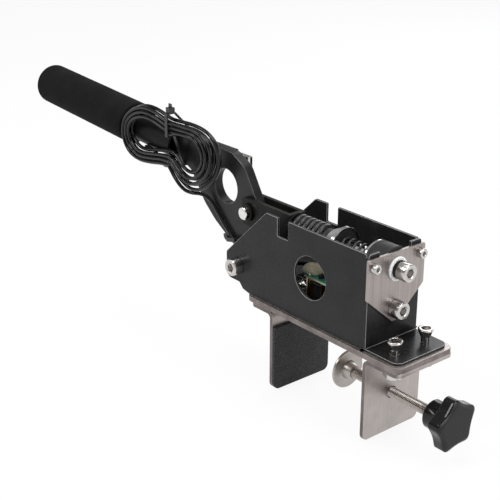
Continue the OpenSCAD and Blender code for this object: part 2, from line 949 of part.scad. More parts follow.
disc_back = rear_leg_x + pad_t + jaw_gap;
disc_t = 2;
hub_len = 7;
knob_back = front_leg_x + bracket_t + knob_gap;
knob_hub_len = 12.5;
knob_hub_r = 10.4;
knob_front = knob_back + knob_hub_len + knob_t;
insert_r = 5.5;
insert_len = 16;
screw_tip = disc_back + disc_t + 0.4;

module clamp_nut() {
    color("#a8a49e")
        difference() {
            hex_x(front_leg_x - m8_nut_h, front_leg_x, m8_nut_w, 0, -clamp_depth);
            rod_x(front_leg_x - m8_nut_h - 1, front_leg_x + 1, clamp_d / 2 + run_gap, 0, -clamp_depth);
        }
}

module pressure_disc() {
    color("#cfcdc9")
        difference() {
            union() {
                rod_x(disc_back, disc_back + disc_t, disc_d / 2, 0, -clamp_depth);
                translate([disc_back + disc_t, 0, -clamp_depth])
                    rotate([0, 90, 0])
                        cylinder(h = hub_len, r1 = clamp_d / 2 + 3, r2 = clamp_d / 2 + 1.2);
            }
            rod_x(
                disc_back + disc_t, disc_back + disc_t + hub_len + 1,
                clamp_d / 2 + run_gap, 0, -clamp_depth
            );
        }
}

module clamp_screw() {
    color("#b8b4ae") rod_x(screw_tip, knob_back + insert_len, clamp_d / 2, 0, -clamp_depth);
}

module knob_insert() {
    color("#b59a5a")
        difference() {
            rod_x(knob_back, knob_back + insert_len, insert_r, 0, -clamp_depth);
            rod_x(knob_back - 1, knob_back + insert_len + 1, clamp_d / 2, 0, -clamp_depth);
        }
}

// outline of the five-lobed knob: rounded corners, and sides that are a little hollow
lobe_turn = 24;
lobe_corner_r = 4.5;
hollow_r = 30;
lobe_reach = knob_r + lobe_corner_r * (1 / sin(54) - 1);
knob_outline = rounded(
    [
        for (k = [0:4])
            each [
                lobe_reach * [cos(lobe_turn + 72 * k), sin(lobe_turn + 72 * k)],
                (knob_r - knob_valley) * [cos(lobe_turn + 72 * k + 36), sin(lobe_turn + 72 * k + 36)]
            ]
    ],
    [for (k = [0:4]) each [lobe_corner_r, hollow_r]]
);

module star_knob() {
    color("#151516")
        difference() {
            union() {
                rod_x(knob_back, knob_back + knob_hub_len, knob_hub_r, 0, -clamp_depth);
                translate([0, 0, -clamp_depth])
                    slab_yz(knob_front - knob_t, knob_front)
                        polygon(knob_outline);
            }
            rod_x(knob_back - 1, knob_back + insert_len, insert_r, 0, -clamp_depth);
        }
}

// Sensor board

module circuit_board() {
    color("#1f6b4a")
        difference() {
            translate([board_rear, -board_w / 2, board_top - board_t]) cube([board_len, board_w, board_t]);
            board_post_places()
                translate([0, 0, board_top - board_t - 1])
                    cylinder(h = board_t + 2, r = board_screw_r + run_gap);
        }
}

module board_post_places() {
    for (x = [board_rear + post_in, board_rear + board_len - post_in], side = [-1, 1])
        translate([x, side * (board_w / 2 - post_in), 0])
            children();
}

module board_posts() {
    color("#c6a85a")
        board_post_places()
            difference() {
                translate([0, 0, floor_top]) cylinder(h = board_top - board_t - floor_top, r = post_r);
                translate([0, 0, board_top - board_t - board_screw_len - 1])
                    cylinder(h = board_screw_len + 2, r = board_screw_r);
            }
}

module board_screws() {
    color("#c9c6c2")
        board_post_places() {
            translate([0, 0, board_top]) cylinder(h = board_head_h, r = board_head_r);
            translate([0, 0, board_top - board_t - board_screw_len])
                cylinder(h = board_t + board_screw_len + 0.5, r = board_screw_r);
        }
}

module board_chip() {
    chip_w = 7;
    chip_h = 1;
    chip_rear = board_rear + 24.5;
    color("#161617") translate([chip_rear, -chip_w / 2, board_top]) cube([chip_w, chip_w, chip_h]);
}

module board_parts() {
    small = [2, 1.2, 0.7];
    large = [4, 2.4, 1.4];
    step = 3.4;
    edge = board_w / 2;
    color("#6b6258") {
        for (k = [0:3])
            translate([board_rear + 20.5 + step * k, edge - 4.8, board_top]) cube(small);
        translate([board_rear + 26.7, large.y - edge - 0.8, board_top]) cube(large);
    }
}

module board_header() {
    pins = 6;
    pin_step = 2.5;
    block = [2.4, 2.1, 3];
    color("#121213")
        for (k = [0:pins - 1])
            translate([glue_x + glue_r + 0.2, pin_step * (k - pins / 2) + 0.2, board_top])
                cube(block);
}

module hall_sensor() {
    case = [4, 1.6, 3.2];
    lead_len = 4;
    lead_w = 0.5;
    lead_step = 1.27;
    color("#1a1a1b") {
        translate([sensor_x - case.x / 2, -case.y / 2, board_top + lead_len]) cube(case);
        for (k = [-1:1])
            translate([sensor_x + lead_step * k - lead_w / 2, -lead_w / 2, board_top])
                cube([lead_w, lead_w, lead_len + 0.5]);
    }
}

module hot_glue() {
    color("#cfc9a0")
        difference() {
            intersection() {
                translate([glue_x, 0, board_top - 0.5]) sphere(r = glue_r);
                translate([glue_x - glue_r, -glue_r, board_top]) cube(2 * glue_r);
            }
            board_post_places()
                translate([0, 0, board_top - 1]) cylinder(h = board_head_h + 2.4, r = board_head_r + 0.2);
        }
}

// Cable

// point on a closed smooth curve through the points of a loop
function loop_point(loop, s) =
    let (n = len(loop), i = floor(s), k = (i + n) % n)
    smooth_point(loop[(k + n - 1) % n], loop[k], loop[(k + 1) % n], loop[(k + 2) % n], s - i);

// middle of the cable on the hank after u turns: inward in the near layer, outward in the far
// one, which lies half a step further out
function hank_point(u) =
    let (
        s = len(hank_outer) * u,
        shift = min(max((u - hank_turns) * 4, 0), 1) / 2,
        inward = (hank_turns - abs(u - hank_turns) - shift) / hank_turns,
        a = loop_point(hank_outer, s),
        b = loop_point(hank_inner, s),
        at = a + (b - a) * inward,
        climb = min(max((u - hank_turns) * 2 + 1, 0), 1)
    )
    [at.x, hank_y + hank_layer * climb, at.y];

hank_count = 2 * hank_turns * hank_rings;
hank_route = concat(
    [hank_start],
    [for (i = [0:hank_count]) hank_point(i / hank_rings)],
    [hank_end]
);

// least distance between points of the hank that are over half a turn apart, less the cable
hank_gap = min([
    for (i = [0:hank_count], k = [i + hank_rings / 2:hank_count])
        norm(hank_route[i + 1] - hank_route[k + 1])
]) - cable_d;
echo(hank_gap = hank_gap);

function route_len(route) = len(route) < 2 ? 0 : route_sum(route, 1);
function route_sum(route, i) =
    i >= len(route) ? 0 : norm(route[i] - route[i - 1]) + route_sum(route, i + 1);
cable_routes = [lead_route, riser_route, hank_route, tail_route];
echo(cable_length = [for (route = cable_routes) route_len(route)] * [1, 1, 1, 1]);

module cable_lead() {
    color("#101011") route_tube(smooth_route(lead_route, 2), cable_d, 8, [0, 0, 1]);
}

module cable_riser() {
    color("#101011") route_tube(smooth_route(riser_route, 2), cable_d, 8, [0, 1, 0]);
}

module cable_hank() {
    color("#101011") route_tube(hank_route, cable_d, 6, [0, 1, 0]);
}

module cable_tail() {
    color("#101011") route_tube(smooth_route(tail_route, 2), cable_d, 8, [0, 0, 1]);
}

plug_w = 15.5;
plug_t = 7.6;
plug_len = 36;
relief_len = 8;
shell_len = 18.8;

module on_plug() {
    translate(tail_route[len(tail_route) - 1]) rotate([0, 90, 0]) children();
}

module plug_body() {
    color("#141415")
        on_plug() {
            cylinder(h = relief_len, r1 = 2.2, r2 = 3.2);
            translate([0, 0, relief_len])
                linear_extrude(height = plug_len - relief_len)
                    polygon(rounded(
                        [
                            [-plug_w / 2, -plug_t / 2], [plug_w / 2, -plug_t / 2],
                            [plug_w / 2, plug_t / 2], [-plug_w / 2, plug_t / 2]
                        ],
                        [2, 2, 2, 2]
                    ));
        }
}

module plug_shell() {
    shell_w = 12;
    shell_t = 4.5;
    skin = 0.4;
    color("#c4c2be")
        on_plug()
            translate([0, 0, plug_len])
                difference() {
                    translate([-shell_w / 2, -shell_t / 2, 0]) cube([shell_w, shell_t, shell_len]);
                    translate([-shell_w / 2 + skin, -shell_t / 2 + skin + 1.8, 1])
                        cube([shell_w - 2 * skin, shell_t - 2 * skin - 1.8, shell_len]);
                }
}

// Cable ties

// strap round the lever's neck and the cable, drawn along the neck from its rear edge
tie_from = [-131.5, 28.2];
tie_to = [-83.5, 38.4];
tie_run = norm(tie_to - tie_from);
tie_turn = atan2(tie_to.y - tie_from.y, tie_to.x - tie_from.x);

module lever_tie() {
    half = lever_t / 2 + 0.15;
    hump_y = -lever_t / 2 - cable_d - 0.9;
    inner = [
        [0, half], [0, -half], [hump_from - hump_ramp, -half], [hump_from, hump_y],
        [hump_to, hump_y], [hump_to + hump_ramp, -half], [tie_run, -half], [tie_run, half]
    ];
    color("#0f0f10")
        translate([tie_from.x, 0, tie_from.y])
            rotate([0, -tie_turn, 0]) {
                translate([0, 0, -strap_w / 2])
                    linear_extrude(height = strap_w)
                        difference() {
                            offset(delta = strap_t) polygon(inner);
                            polygon(inner);
                        }
                translate([0.2 - strap_t - tie_head_t, -tie_head_w / 2, -tie_head_w / 2])
                    cube([tie_head_t, tie_head_w, tie_head_w]);
                translate([0.4 - strap_t - tie_head_t - tie_tail_len, -strap_t, -strap_w / 2])
                    cube([tie_tail_len, strap_t, strap_w]);
            }
}

// strap round the hank's upper run and the lever's arm
module hank_tie() {
    at = hank_tie_x;
    arm = lever_t / 2 + 0.25;
    top = handle_axis_z(at) + arm_half + 0.5;
    bottom = handle_axis_z(at) - arm_half - 0.5;
    near = hank_y - cable_d / 2 - 0.3;
    far = hank_y + hank_layer + cable_d / 2 + 0.3;
    low = hank_low - 0.3;
    high = hank_high + 0.3;
    color("#0f0f10") {
        slab_yz(at - strap_w / 2, at + strap_w / 2)
            difference() {
                offset(delta = strap_t) hank_tie_inside(arm, top, bottom, near, far, low, high);
                hank_tie_inside(arm, top, bottom, near, far, low, high);
            }
        translate([at - tie_head_w / 2, (near + far - tie_head_w) / 2, high + strap_t - 0.2])
            cube([tie_head_w, tie_head_w, tie_head_t + 0.2]);
        translate([at - strap_w / 2, (near + far - strap_t) / 2, high + strap_t + tie_head_t - 0.2])
            cube([strap_w, strap_t, tie_tail_len]);
    }
}

module hank_tie_inside(arm, top, bottom, near, far, low, high) {
    polygon([
        [near, low], [far, low], [-arm, bottom], [arm, bottom], [arm, top], [far, high], [near, high]
    ]);
}

housing();
base_plate();
rear_bracket();
rear_pad();
front_bracket();
base_bolts();
base_nuts();
rear_bolts();
rear_nuts();
front_plate();
plate_screws();
lower_bolt();
lower_nut();
rod_bush();
damper();
damper_washer();
pivot_bolt();
pivot_nut();
pivot_spacers();
circuit_board();
board_posts();
board_screws();
board_chip();
board_parts();
board_header();
hall_sensor();
hot_glue();
clamp_nut();
pressure_disc();
clamp_screw();
knob_insert();
star_knob();
lever_plate();
pivot_bush();
handle_tube();
foam_grip();
clevis_pin();
pin_rings();
lever_tie();
hank_tie();
clevis();
rod_bolt();
end_washer();
seat_washer();
spring_cup();
cup_pad();
neck_sleeve();
magnet_holder();
sensor_magnet();
stiff_spring();
soft_spring();
cable_lead();
cable_riser();
cable_hank();
cable_tail();
plug_body();
plug_shell();
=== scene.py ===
"""Looks of the sim racing handbrake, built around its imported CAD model.

The scene is in metres, with Z up. Sizes and places of pieces are written in millimetres.
"""

import math
import random

import bmesh
import bpy
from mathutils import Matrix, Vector


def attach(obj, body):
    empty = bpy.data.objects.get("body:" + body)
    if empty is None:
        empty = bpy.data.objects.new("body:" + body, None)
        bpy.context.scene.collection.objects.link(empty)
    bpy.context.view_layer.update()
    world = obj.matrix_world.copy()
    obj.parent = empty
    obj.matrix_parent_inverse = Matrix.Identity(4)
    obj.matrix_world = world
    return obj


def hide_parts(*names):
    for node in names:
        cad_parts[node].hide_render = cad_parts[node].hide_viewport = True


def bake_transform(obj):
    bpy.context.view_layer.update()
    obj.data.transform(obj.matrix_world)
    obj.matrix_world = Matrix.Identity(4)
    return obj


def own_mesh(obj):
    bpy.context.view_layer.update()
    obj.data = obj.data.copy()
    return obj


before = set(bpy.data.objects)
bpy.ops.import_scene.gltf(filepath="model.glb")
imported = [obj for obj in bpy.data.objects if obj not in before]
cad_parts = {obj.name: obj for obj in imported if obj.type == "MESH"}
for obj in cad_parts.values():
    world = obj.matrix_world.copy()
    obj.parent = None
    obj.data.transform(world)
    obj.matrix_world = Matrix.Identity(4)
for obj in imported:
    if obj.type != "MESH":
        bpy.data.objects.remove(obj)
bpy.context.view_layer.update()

# Units, directions, and places shared with the CAD source

MM = 0.001
X_AXIS = (1, 0, 0)
Y_AXIS = (0, 1, 0)
Z_AXIS = (0, 0, 1)
ROD_Z = 59  # axis of the push rod
CLAMP_Z = -34  # axis of the clamp screw
PIVOT_X = -91  # axis of the lever's pivot bolt
PIVOT_Z = 23
PIN_X = -100.5  # axis of the clevis pin, level with the rod
BASE_BOLT_X = 62.4  # bolts at the front toe
REAR_BOLT_X = -62  # bolts of the rear bracket
BASE_BOLT_Y = 15  # how far both pairs stand from the middle
PLATE_X = 47  # front face of the bright plate
PLATE_SCREW_Y = 22
PLATE_SCREW_Z = 64.8
LOWER_BOLT_Z = 29.8
HANDLE = Vector((-255.3, 0, 92.8))  # point on the axis of the handle
HANDLE_RISE = math.radians(3.71)
HANDLE_DIR = Vector((-math.cos(HANDLE_RISE), 0, math.sin(HANDLE_RISE)))

# Camera, fitted to the photograph

camera_data = bpy.data.cameras.new("photo_camera")
camera_data.lens = 79.2
camera_data.sensor_width = 36.0
camera_data.clip_start = 0.01
camera_data.clip_end = 50
camera = bpy.data.objects.new("photo_camera", camera_data)
camera.location = (0.50676, -0.50335, 0.34487)
camera_target = Vector((-0.10755, 0, 0.02383))
camera.rotation_euler = (camera_target - camera.location).to_track_quat("-Z", "Y").to_euler()
bpy.context.scene.collection.objects.link(camera)
bpy.context.scene.camera = camera


# Materials

def add_node(tree, kind, inputs=None, **settings):
    """New node with its settings. Each input gets a value, or the socket that feeds it."""
    made = tree.nodes.new(kind)
    for key, value in settings.items():
        setattr(made, key, value)
    for key, value in (inputs or {}).items():
        if isinstance(value, bpy.types.NodeSocket):
            tree.links.new(value, made.inputs[key])
        else:
            made.inputs[key].default_value = value
    return made


class Nodes:
    """A material's node tree with short calls for the nodes that repeat."""

    def __init__(self, name, rough, base, metallic=0.0, **settings):
        self.mat = bpy.data.materials.new(name)
        self.mat.use_nodes = True
        self.tree = self.mat.node_tree
        self.tree.nodes.clear()
        out = self.tree.nodes.new("ShaderNodeOutputMaterial")
        self.shader = self.tree.nodes.new("ShaderNodeBsdfPrincipled")
        self.tree.links.new(self.shader.outputs["BSDF"], out.inputs["Surface"])
        self.shader.inputs["Base Color"].default_value = (*base, 1)
        self.shader.inputs["Roughness"].default_value = rough
        self.shader.inputs["Metallic"].default_value = metallic
        for key, value in settings.items():
            self.shader.inputs[key.replace("_", " ")].default_value = value
        self.coords = self.tree.nodes.new("ShaderNodeTexCoord").outputs["Object"]
        self.mat.diffuse_color = (*base, 1)

    def node(self, kind, inputs=None, **settings):
        return add_node(self.tree, kind, inputs, **settings)

    def stretched(self, scale, turn=(0, 0, 0)):
        """Object coordinates, turned and scaled."""
        inputs = {"Vector": self.coords, "Scale": scale, "Rotation": turn}
        return self.node("ShaderNodeMapping", inputs).outputs["Vector"]

    def noise(self, scale, detail, rough=0.55, vector=None):
        """Cloudy values around 0.5."""
        inputs = {
            "Vector": vector or self.coords,
            "Scale": scale,
            "Detail": detail,
            "Roughness": rough,
        }
        return self.node("ShaderNodeTexNoise", inputs).outputs["Fac"]

    def ramp(self, value, low, high, a=0.0, b=1.0):
        """Value from a to b, as the input goes from low to high."""
        inputs = {"Value": value, "From Min": low, "From Max": high, "To Min": a, "To Max": b}
        return self.node("ShaderNodeMapRange", inputs).outputs["Result"]

    def math(self, operation, a, b):
        return self.node("ShaderNodeMath", {0: a, 1: b}, operation=operation).outputs[0]

    def mix(self, fac, *colours):
        """Mix of two colours, each a socket or three numbers."""
        a, b = (c if isinstance(c, bpy.types.NodeSocket) else (*c, 1) for c in colours)
        return self.node("ShaderNodeMix", {0: fac, 6: a, 7: b}, data_type="RGBA").outputs[2]

    def colour(self, socket):
        self.tree.links.new(socket, self.shader.inputs["Base Color"])

    def rough(self, socket):
        self.tree.links.new(socket, self.shader.inputs["Roughness"])

    def bump(self, height, strength, distance):
        """Relief from a height, its depth in metres."""
        made = self.node(
            "ShaderNodeBump", {"Height": height, "Strength": strength, "Distance": distance}
        )
        self.tree.links.new(made.outputs["Normal"], self.shader.inputs["Normal"])


def coated_metal(name, base, rough, grain=1400, grain_depth=0.00004, shine=0.25):
    """Sprayed or powder-coated metal: fine orange peel and faint clouding."""
    n = Nodes(name, rough, base, Specular_IOR_Level=shine)
    peel = n.noise(grain, 2.0)
    patch = n.noise(45, 3.0)
    lighter = tuple(min(1, c * 1.28 + 0.002) for c in base)
    n.colour(n.mix(n.ramp(patch, 0.35, 0.7), base, lighter))
    n.rough(n.ramp(n.noise(160, 4.0), 0.3, 0.7, rough - 0.05, rough + 0.07))
    n.bump(peel, 0.35, grain_depth)
    return n.mat


def brushed_metal(name, base, rough, along, streak=1.0):
    """Bare metal with streaks that run along one axis: "x", "y" or "z"."""
    n = Nodes(name, rough, base, 1.0)
    fine = {"x": (60, 2600, 2600), "y": (2600, 60, 2600), "z": (2600, 2600, 60)}[along]
    wide = {"x": (12, 500, 500), "y": (500, 12, 500), "z": (500, 500, 12)}[along]
    lines = n.noise(1.0, 2.0, vector=n.stretched(fine))
    bands = n.noise(1.0, 3.0, vector=n.stretched(wide))
    cloud = n.noise(38, 4.0)
    dark = tuple(c * (1 - 0.3 * streak) for c in base)
    mixed = n.math("ADD", n.math("MULTIPLY", bands, 0.6), n.math("MULTIPLY", cloud, 0.4))
    n.colour(n.mix(n.ramp(mixed, 0.35, 0.65), dark, base))
    n.rough(n.ramp(n.math("ADD", lines, cloud), 0.7, 1.3, rough - 0.08, rough + 0.1))
    n.bump(lines, 0.3, 0.00002)
    return n.mat


def plated_metal(name, base, rough):
    """Bright plated steel with faint clouding and hairlines."""
    n = Nodes(name, rough, base, 1.0)
    cloud = n.noise(220, 4.0)
    dull = tuple(c * 0.82 for c in base)
    n.colour(n.mix(n.ramp(cloud, 0.35, 0.7), base, dull))
    n.rough(n.ramp(n.noise(600, 3.0), 0.3, 0.7, max(0.03, rough - 0.04), rough + 0.06))
    n.bump(n.noise(1800, 2.0), 0.15, 0.00001)
    return n.mat


def moulded_plastic(name, base, rough, grain=900, depth=0.00001, **settings):
    """Moulded plastic with a faint flow of roughness."""
    n = Nodes(name, rough, base, **settings)
    flow = n.noise(90, 3.0)
    lighter = tuple(min(1, c * 1.2 + 0.002) for c in base)
    n.colour(n.mix(n.ramp(flow, 0.35, 0.7), base, lighter))
    n.rough(n.ramp(flow, 0.3, 0.7, max(0.03, rough - 0.03), rough + 0.05))
    n.bump(n.noise(grain, 2.0), 0.2, depth)
    return n.mat


def foam_material():
    """Closed-cell foam: dense fine pores, matte, with a dusty sheen."""
    n = Nodes("grip_foam", 0.92, (0.012, 0.012, 0.013), Specular_IOR_Level=0.08)
    cells = n.node(
        "ShaderNodeTexVoronoi", {"Vector": n.coords, "Scale": 1900.0}
    ).outputs["Distance"]
    soft = n.noise(700, 3.0)
    patch = n.noise(30, 3.0)
    height = n.math("ADD", cells, n.math("MULTIPLY", soft, 0.8))
    tone = n.math("ADD", n.math("MULTIPLY", cells, 0.5), n.math("MULTIPLY", patch, 0.7))
    n.colour(n.mix(n.ramp(tone, 0.3, 0.9), (0.004, 0.004, 0.0043), (0.014, 0.014, 0.0147)))
    n.rough(n.ramp(soft, 0.3, 0.7, 0.86, 0.97))
    n.bump(height, 0.55, 0.00016)
    return n.mat


def twill_material():
    """Rubber sheet with fine diagonal ribs."""
    n = Nodes("twill_rubber", 0.55, (0.02, 0.02, 0.021), Specular_IOR_Level=0.3)
    vector = n.stretched((1, 1, 1), (math.radians(38), 0, 0))
    ribs = n.node(
        "ShaderNodeTexWave",
        {"Vector": vector, "Scale": 210.0, "Distortion": 0.15, "Detail": 1.0},
        bands_direction="Z",
    ).outputs["Fac"]
    cross = n.node(
        "ShaderNodeTexWave",
        {"Vector": vector, "Scale": 150.0, "Distortion": 0.1, "Detail": 1.0},
        bands_direction="Y",
    ).outputs["Fac"]
    height = n.math("ADD", ribs, n.math("MULTIPLY", cross, 0.35))
    n.colour(n.mix(n.ramp(height, 0.2, 1.1), (0.008, 0.008, 0.0085), (0.034, 0.034, 0.035)))
    n.rough(n.ramp(n.noise(300, 3.0), 0.3, 0.7, 0.48, 0.66))
    n.bump(height, 0.8, 0.0002)
    return n.mat


def board_material():
    """Green solder mask over copper tracks, with bare edges."""
    n = Nodes("board_green", 0.3, (0.01, 0.16, 0.1), Coat_Weight=0.4)
    tracks = n.node(
        "ShaderNodeTexBrick",
        {
            "Vector": n.coords, "Scale": 160.0, "Mortar Size": 0.07,
            "Color1": (0.008, 0.13, 0.085, 1), "Color2": (0.01, 0.17, 0.11, 1),
            "Mortar": (0.03, 0.27, 0.17, 1),
        },
    )
    normal = n.node("ShaderNodeNewGeometry").outputs["True Normal"]
    upright = n.node("ShaderNodeSeparateXYZ", {"Vector": normal}).outputs["Z"]
    side = n.ramp(n.math("ABSOLUTE", upright, 0.0), 0.9, 0.5)
    n.colour(n.mix(side, tracks.outputs["Color"], (0.55, 0.6, 0.42)))
    n.rough(n.ramp(n.noise(200, 3.0), 0.3, 0.7, 0.24, 0.4))
    n.bump(tracks.outputs["Fac"], 0.3, 0.00004)
    return n.mat


def glue_material():
    """Milky hot-melt glue."""
    n = Nodes(
        "glue", 0.32, (0.72, 0.7, 0.52),
        Subsurface_Weight=0.6, Subsurface_Scale=0.003, Transmission_Weight=0.12,
    )
    cloud = n.noise(350, 4.0)
    n.colour(n.mix(n.ramp(cloud, 0.35, 0.7), (0.78, 0.75, 0.58), (0.62, 0.6, 0.4)))
    n.rough(n.ramp(cloud, 0.3, 0.7, 0.24, 0.42))
    n.bump(n.noise(420, 3.0), 0.4, 0.0003)
    return n.mat


def knob_material():
    """Moulded black plastic: glossy sides and a satin front."""
    n = Nodes("knob_plastic", 0.1, (0.006, 0.006, 0.0065), Specular_IOR_Level=0.3)
    normal = n.node("ShaderNodeTexCoord").outputs["Normal"]
    forward = n.node("ShaderNodeSeparateXYZ", {"Vector": normal}).outputs["X"]
    grain = n.noise(700, 3.0)
    satin = n.math("MULTIPLY", n.ramp(forward, 0.8, 0.96), n.ramp(grain, 0.3, 0.7, 0.36, 0.44))
    n.rough(n.math("ADD", satin, n.ramp(grain, 0.3, 0.7, 0.08, 0.11)))
    n.colour(n.mix(n.noise(60, 3.0), (0.005, 0.005, 0.0055), (0.0075, 0.0075, 0.008)))
    n.bump(grain, 0.3, 0.00001)
    return n.mat


def mottled_steel(name, base, dark, axis="Y"):
    """Plain hot-rolled steel: warm grey, cloudy, with faint upright scratches.

    With axis "Y" the sawn sides are dark, and with "Z" all but the upper and lower face.
    """
    n = Nodes(name, 0.42, base, 1.0)
    cloud = n.noise(55, 5.0, 0.65)
    lines = n.noise(1.0, 2.0, vector=n.stretched((1500, 1500, 50)))
    mixed = n.math("ADD", n.math("MULTIPLY", cloud, 0.65), n.math("MULTIPLY", lines, 0.35))
    normal = n.node("ShaderNodeTexCoord").outputs["Normal"]
    split = n.node("ShaderNodeSeparateXYZ", {"Vector": normal})
    facing = n.math("ABSOLUTE", split.outputs[axis], 0.0)
    sawn = n.ramp(facing, 0.55, 0.9) if axis == "Y" else n.ramp(facing, 0.55, 0.9, 1.0, 0.0)
    face = n.mix(n.ramp(mixed, 0.35, 0.65), tuple(c * 0.72 for c in base), base)
    side = n.mix(n.ramp(cloud, 0.4, 0.6), dark, tuple(c * 1.7 for c in dark))
    n.colour(n.mix(sawn, face, side))
    n.rough(n.ramp(mixed, 0.3, 0.7, 0.34, 0.52))
    n.bump(n.math("ADD", lines, cloud), 0.35, 0.00003)
    return n.mat


MATERIALS = {
    "black_powder_coat": coated_metal(
        "black_powder_coat", (0.0122, 0.0122, 0.0128), 0.27, 1400, 0.0000025, 0.19
    ),
    "lever_paint": coated_metal("lever_paint", (0.01, 0.01, 0.0105), 0.33, 900, 0.00005),
    "raw_steel": mottled_steel("raw_steel", (0.52, 0.475, 0.455), (0.13, 0.112, 0.108)),
    "stainless": brushed_metal("stainless", (0.42, 0.376, 0.358), 0.34, "z"),
    "zinc_bolt": plated_metal("zinc_bolt", (0.62, 0.6, 0.58), 0.17),
    "bright_chrome": plated_metal("bright_chrome", (0.82, 0.81, 0.8), 0.09),
    "black_spring": coated_metal(
        "black_spring", (0.014, 0.014, 0.015), 0.27, 1200, 0.00002, 0.5
    ),
    "blackened_steel": coated_metal(
        "blackened_steel", (0.008, 0.0076, 0.0072), 0.36, shine=0.12
    ),
    "black_rubber": moulded_plastic(
        "black_rubber", (0.014, 0.014, 0.015), 0.5, Specular_IOR_Level=0.35
    ),
    "twill_rubber": twill_material(),
    "grip_foam": foam_material(),
    "white_nylon": moulded_plastic(
        "white_nylon", (0.8, 0.81, 0.81), 0.5, Specular_IOR_Level=0.3
    ),
    "knob_plastic": knob_material(),
    "bronze": brushed_metal("bronze", (0.58, 0.42, 0.2), 0.3, "y"),
    "board_green": board_material(),
    "chip_plastic": moulded_plastic("chip_plastic", (0.012, 0.012, 0.013), 0.42, 1500, 0.00002),
    "glue": glue_material(),
    "cable_jacket": moulded_plastic(
        "cable_jacket", (0.003, 0.003, 0.0032), 0.16, 1500, 0.000002, Specular_IOR_Level=0.3
    ),
    "tie_nylon": moulded_plastic("tie_nylon", (0.012, 0.012, 0.012), 0.34),
    "plug_metal": brushed_metal("plug_metal", (0.68, 0.67, 0.65), 0.25, "x"),
}

# Painted highlights along the rounded edges: lighter looks that the bevels take, by the slot they
# belong to

EDGE_HIGHLIGHTS = {
    "black_powder_coat": coated_metal("coat_edge_highlight", (0.2, 0.2, 0.202), 0.24, 1400, 0.00001, 0.6),
    "lever_paint": coated_metal("paint_edge_highlight", (0.05, 0.05, 0.051), 0.26, 900, 0.00002, 0.5),
}

# Looks that differ from the plain one of their slot

SCREW_STEEL = plated_metal("screw_steel", (0.45, 0.41, 0.38), 0.27)
PLATE_STEEL = mottled_steel("plate_steel", (0.52, 0.475, 0.455), (0.17, 0.147, 0.143), "Z")
TUBE_PAINT = coated_metal("tube_paint", (0.006, 0.006, 0.0065), 0.4, shine=0.08)
NICKEL = brushed_metal("nickel_disc", (0.46, 0.43, 0.4), 0.36, "y", 0.5)


# Mesh helpers

def mm(*values):
    """Point given in millimetres, as metres."""
    return Vector(values) * MM


def add_piece(name, points, faces, slot, sharp, body=None):
    """Smooth piece of points in metres, creased past the sharp angle, that rides on its body."""
    mesh = bpy.data.meshes.new(name)
    mesh.from_pydata([tuple(p) for p in points], [], faces)
    mesh.validate()
    work = bmesh.new()
    work.from_mesh(mesh)
    bmesh.ops.remove_doubles(work, verts=work.verts, dist=1e-7)
    bmesh.ops.recalc_face_normals(work, faces=work.faces)
    work.to_mesh(mesh)
    work.free()
    for face in mesh.polygons:
        face.use_smooth = True
    mesh.set_sharp_from_angle(angle=math.radians(sharp))
    piece = bpy.data.objects.new(name, mesh)
    bpy.context.scene.collection.objects.link(piece)
    piece.data.materials.append(MATERIALS[slot])
    if body:
        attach(piece, body)
    return piece


def replace(node, *pieces):
    """Shows the pieces in the place of a CAD node."""
    for piece in pieces:
        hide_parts(node)


def ring_faces(rings, sides, first=True, last=True):
    """Faces between rings of points that follow each other, and over the first and the last one."""
    faces = []
    for i in range(rings - 1):
        a = i * sides
        for k in range(sides):
            n = (k + 1) % sides
            faces.append((a + k, a + n, a + sides + n, a + sides + k))
    if first:
        faces.append(tuple(range(sides)))
    if last:
        faces.append(tuple((rings - 1) * sides + k for k in range(sides)))
    return faces


def rounded(points, steps):
    """Outline of (a, b, r) points as (a, b) pairs, each corner rounded by its own r."""
    out = []
    count = len(points)
    for i, (a, b, r) in enumerate(points):
        here = Vector((a, b))
        if r <= 0:
            out.append((a, b))
            continue
        back = (Vector(points[i - 1][:2]) - here).normalized()
        ahead = (Vector(points[(i + 1) % count][:2]) - here).normalized()
        half = math.acos(max(-1, min(1, back.dot(ahead)))) / 2
        centre = here + (back + ahead).normalized() * r / math.sin(half)
        start = here + back * r / math.tan(half) - centre
        end = here + ahead * r / math.tan(half) - centre
        angle = math.atan2(start.y, start.x)
        turn = math.atan2(end.y, end.x) - angle
        turn = (turn + 3 * math.pi) % (2 * math.pi) - math.pi
        for k in range(steps + 1):
            at = angle + turn * k / steps
            out.append((centre.x + r * math.cos(at), centre.y + r * math.sin(at)))
    return out


def axis_frame(axis):
    """Two directions square to an axis, and the axis, as unit vectors."""
    axis = Vector(axis).normalized()
    side = Vector((0, 0, 1)) if abs(axis.z) < 0.9 else Vector((1, 0, 0))
    across = side.cross(axis).normalized()
    return across, axis.cross(across).normalized(), axis


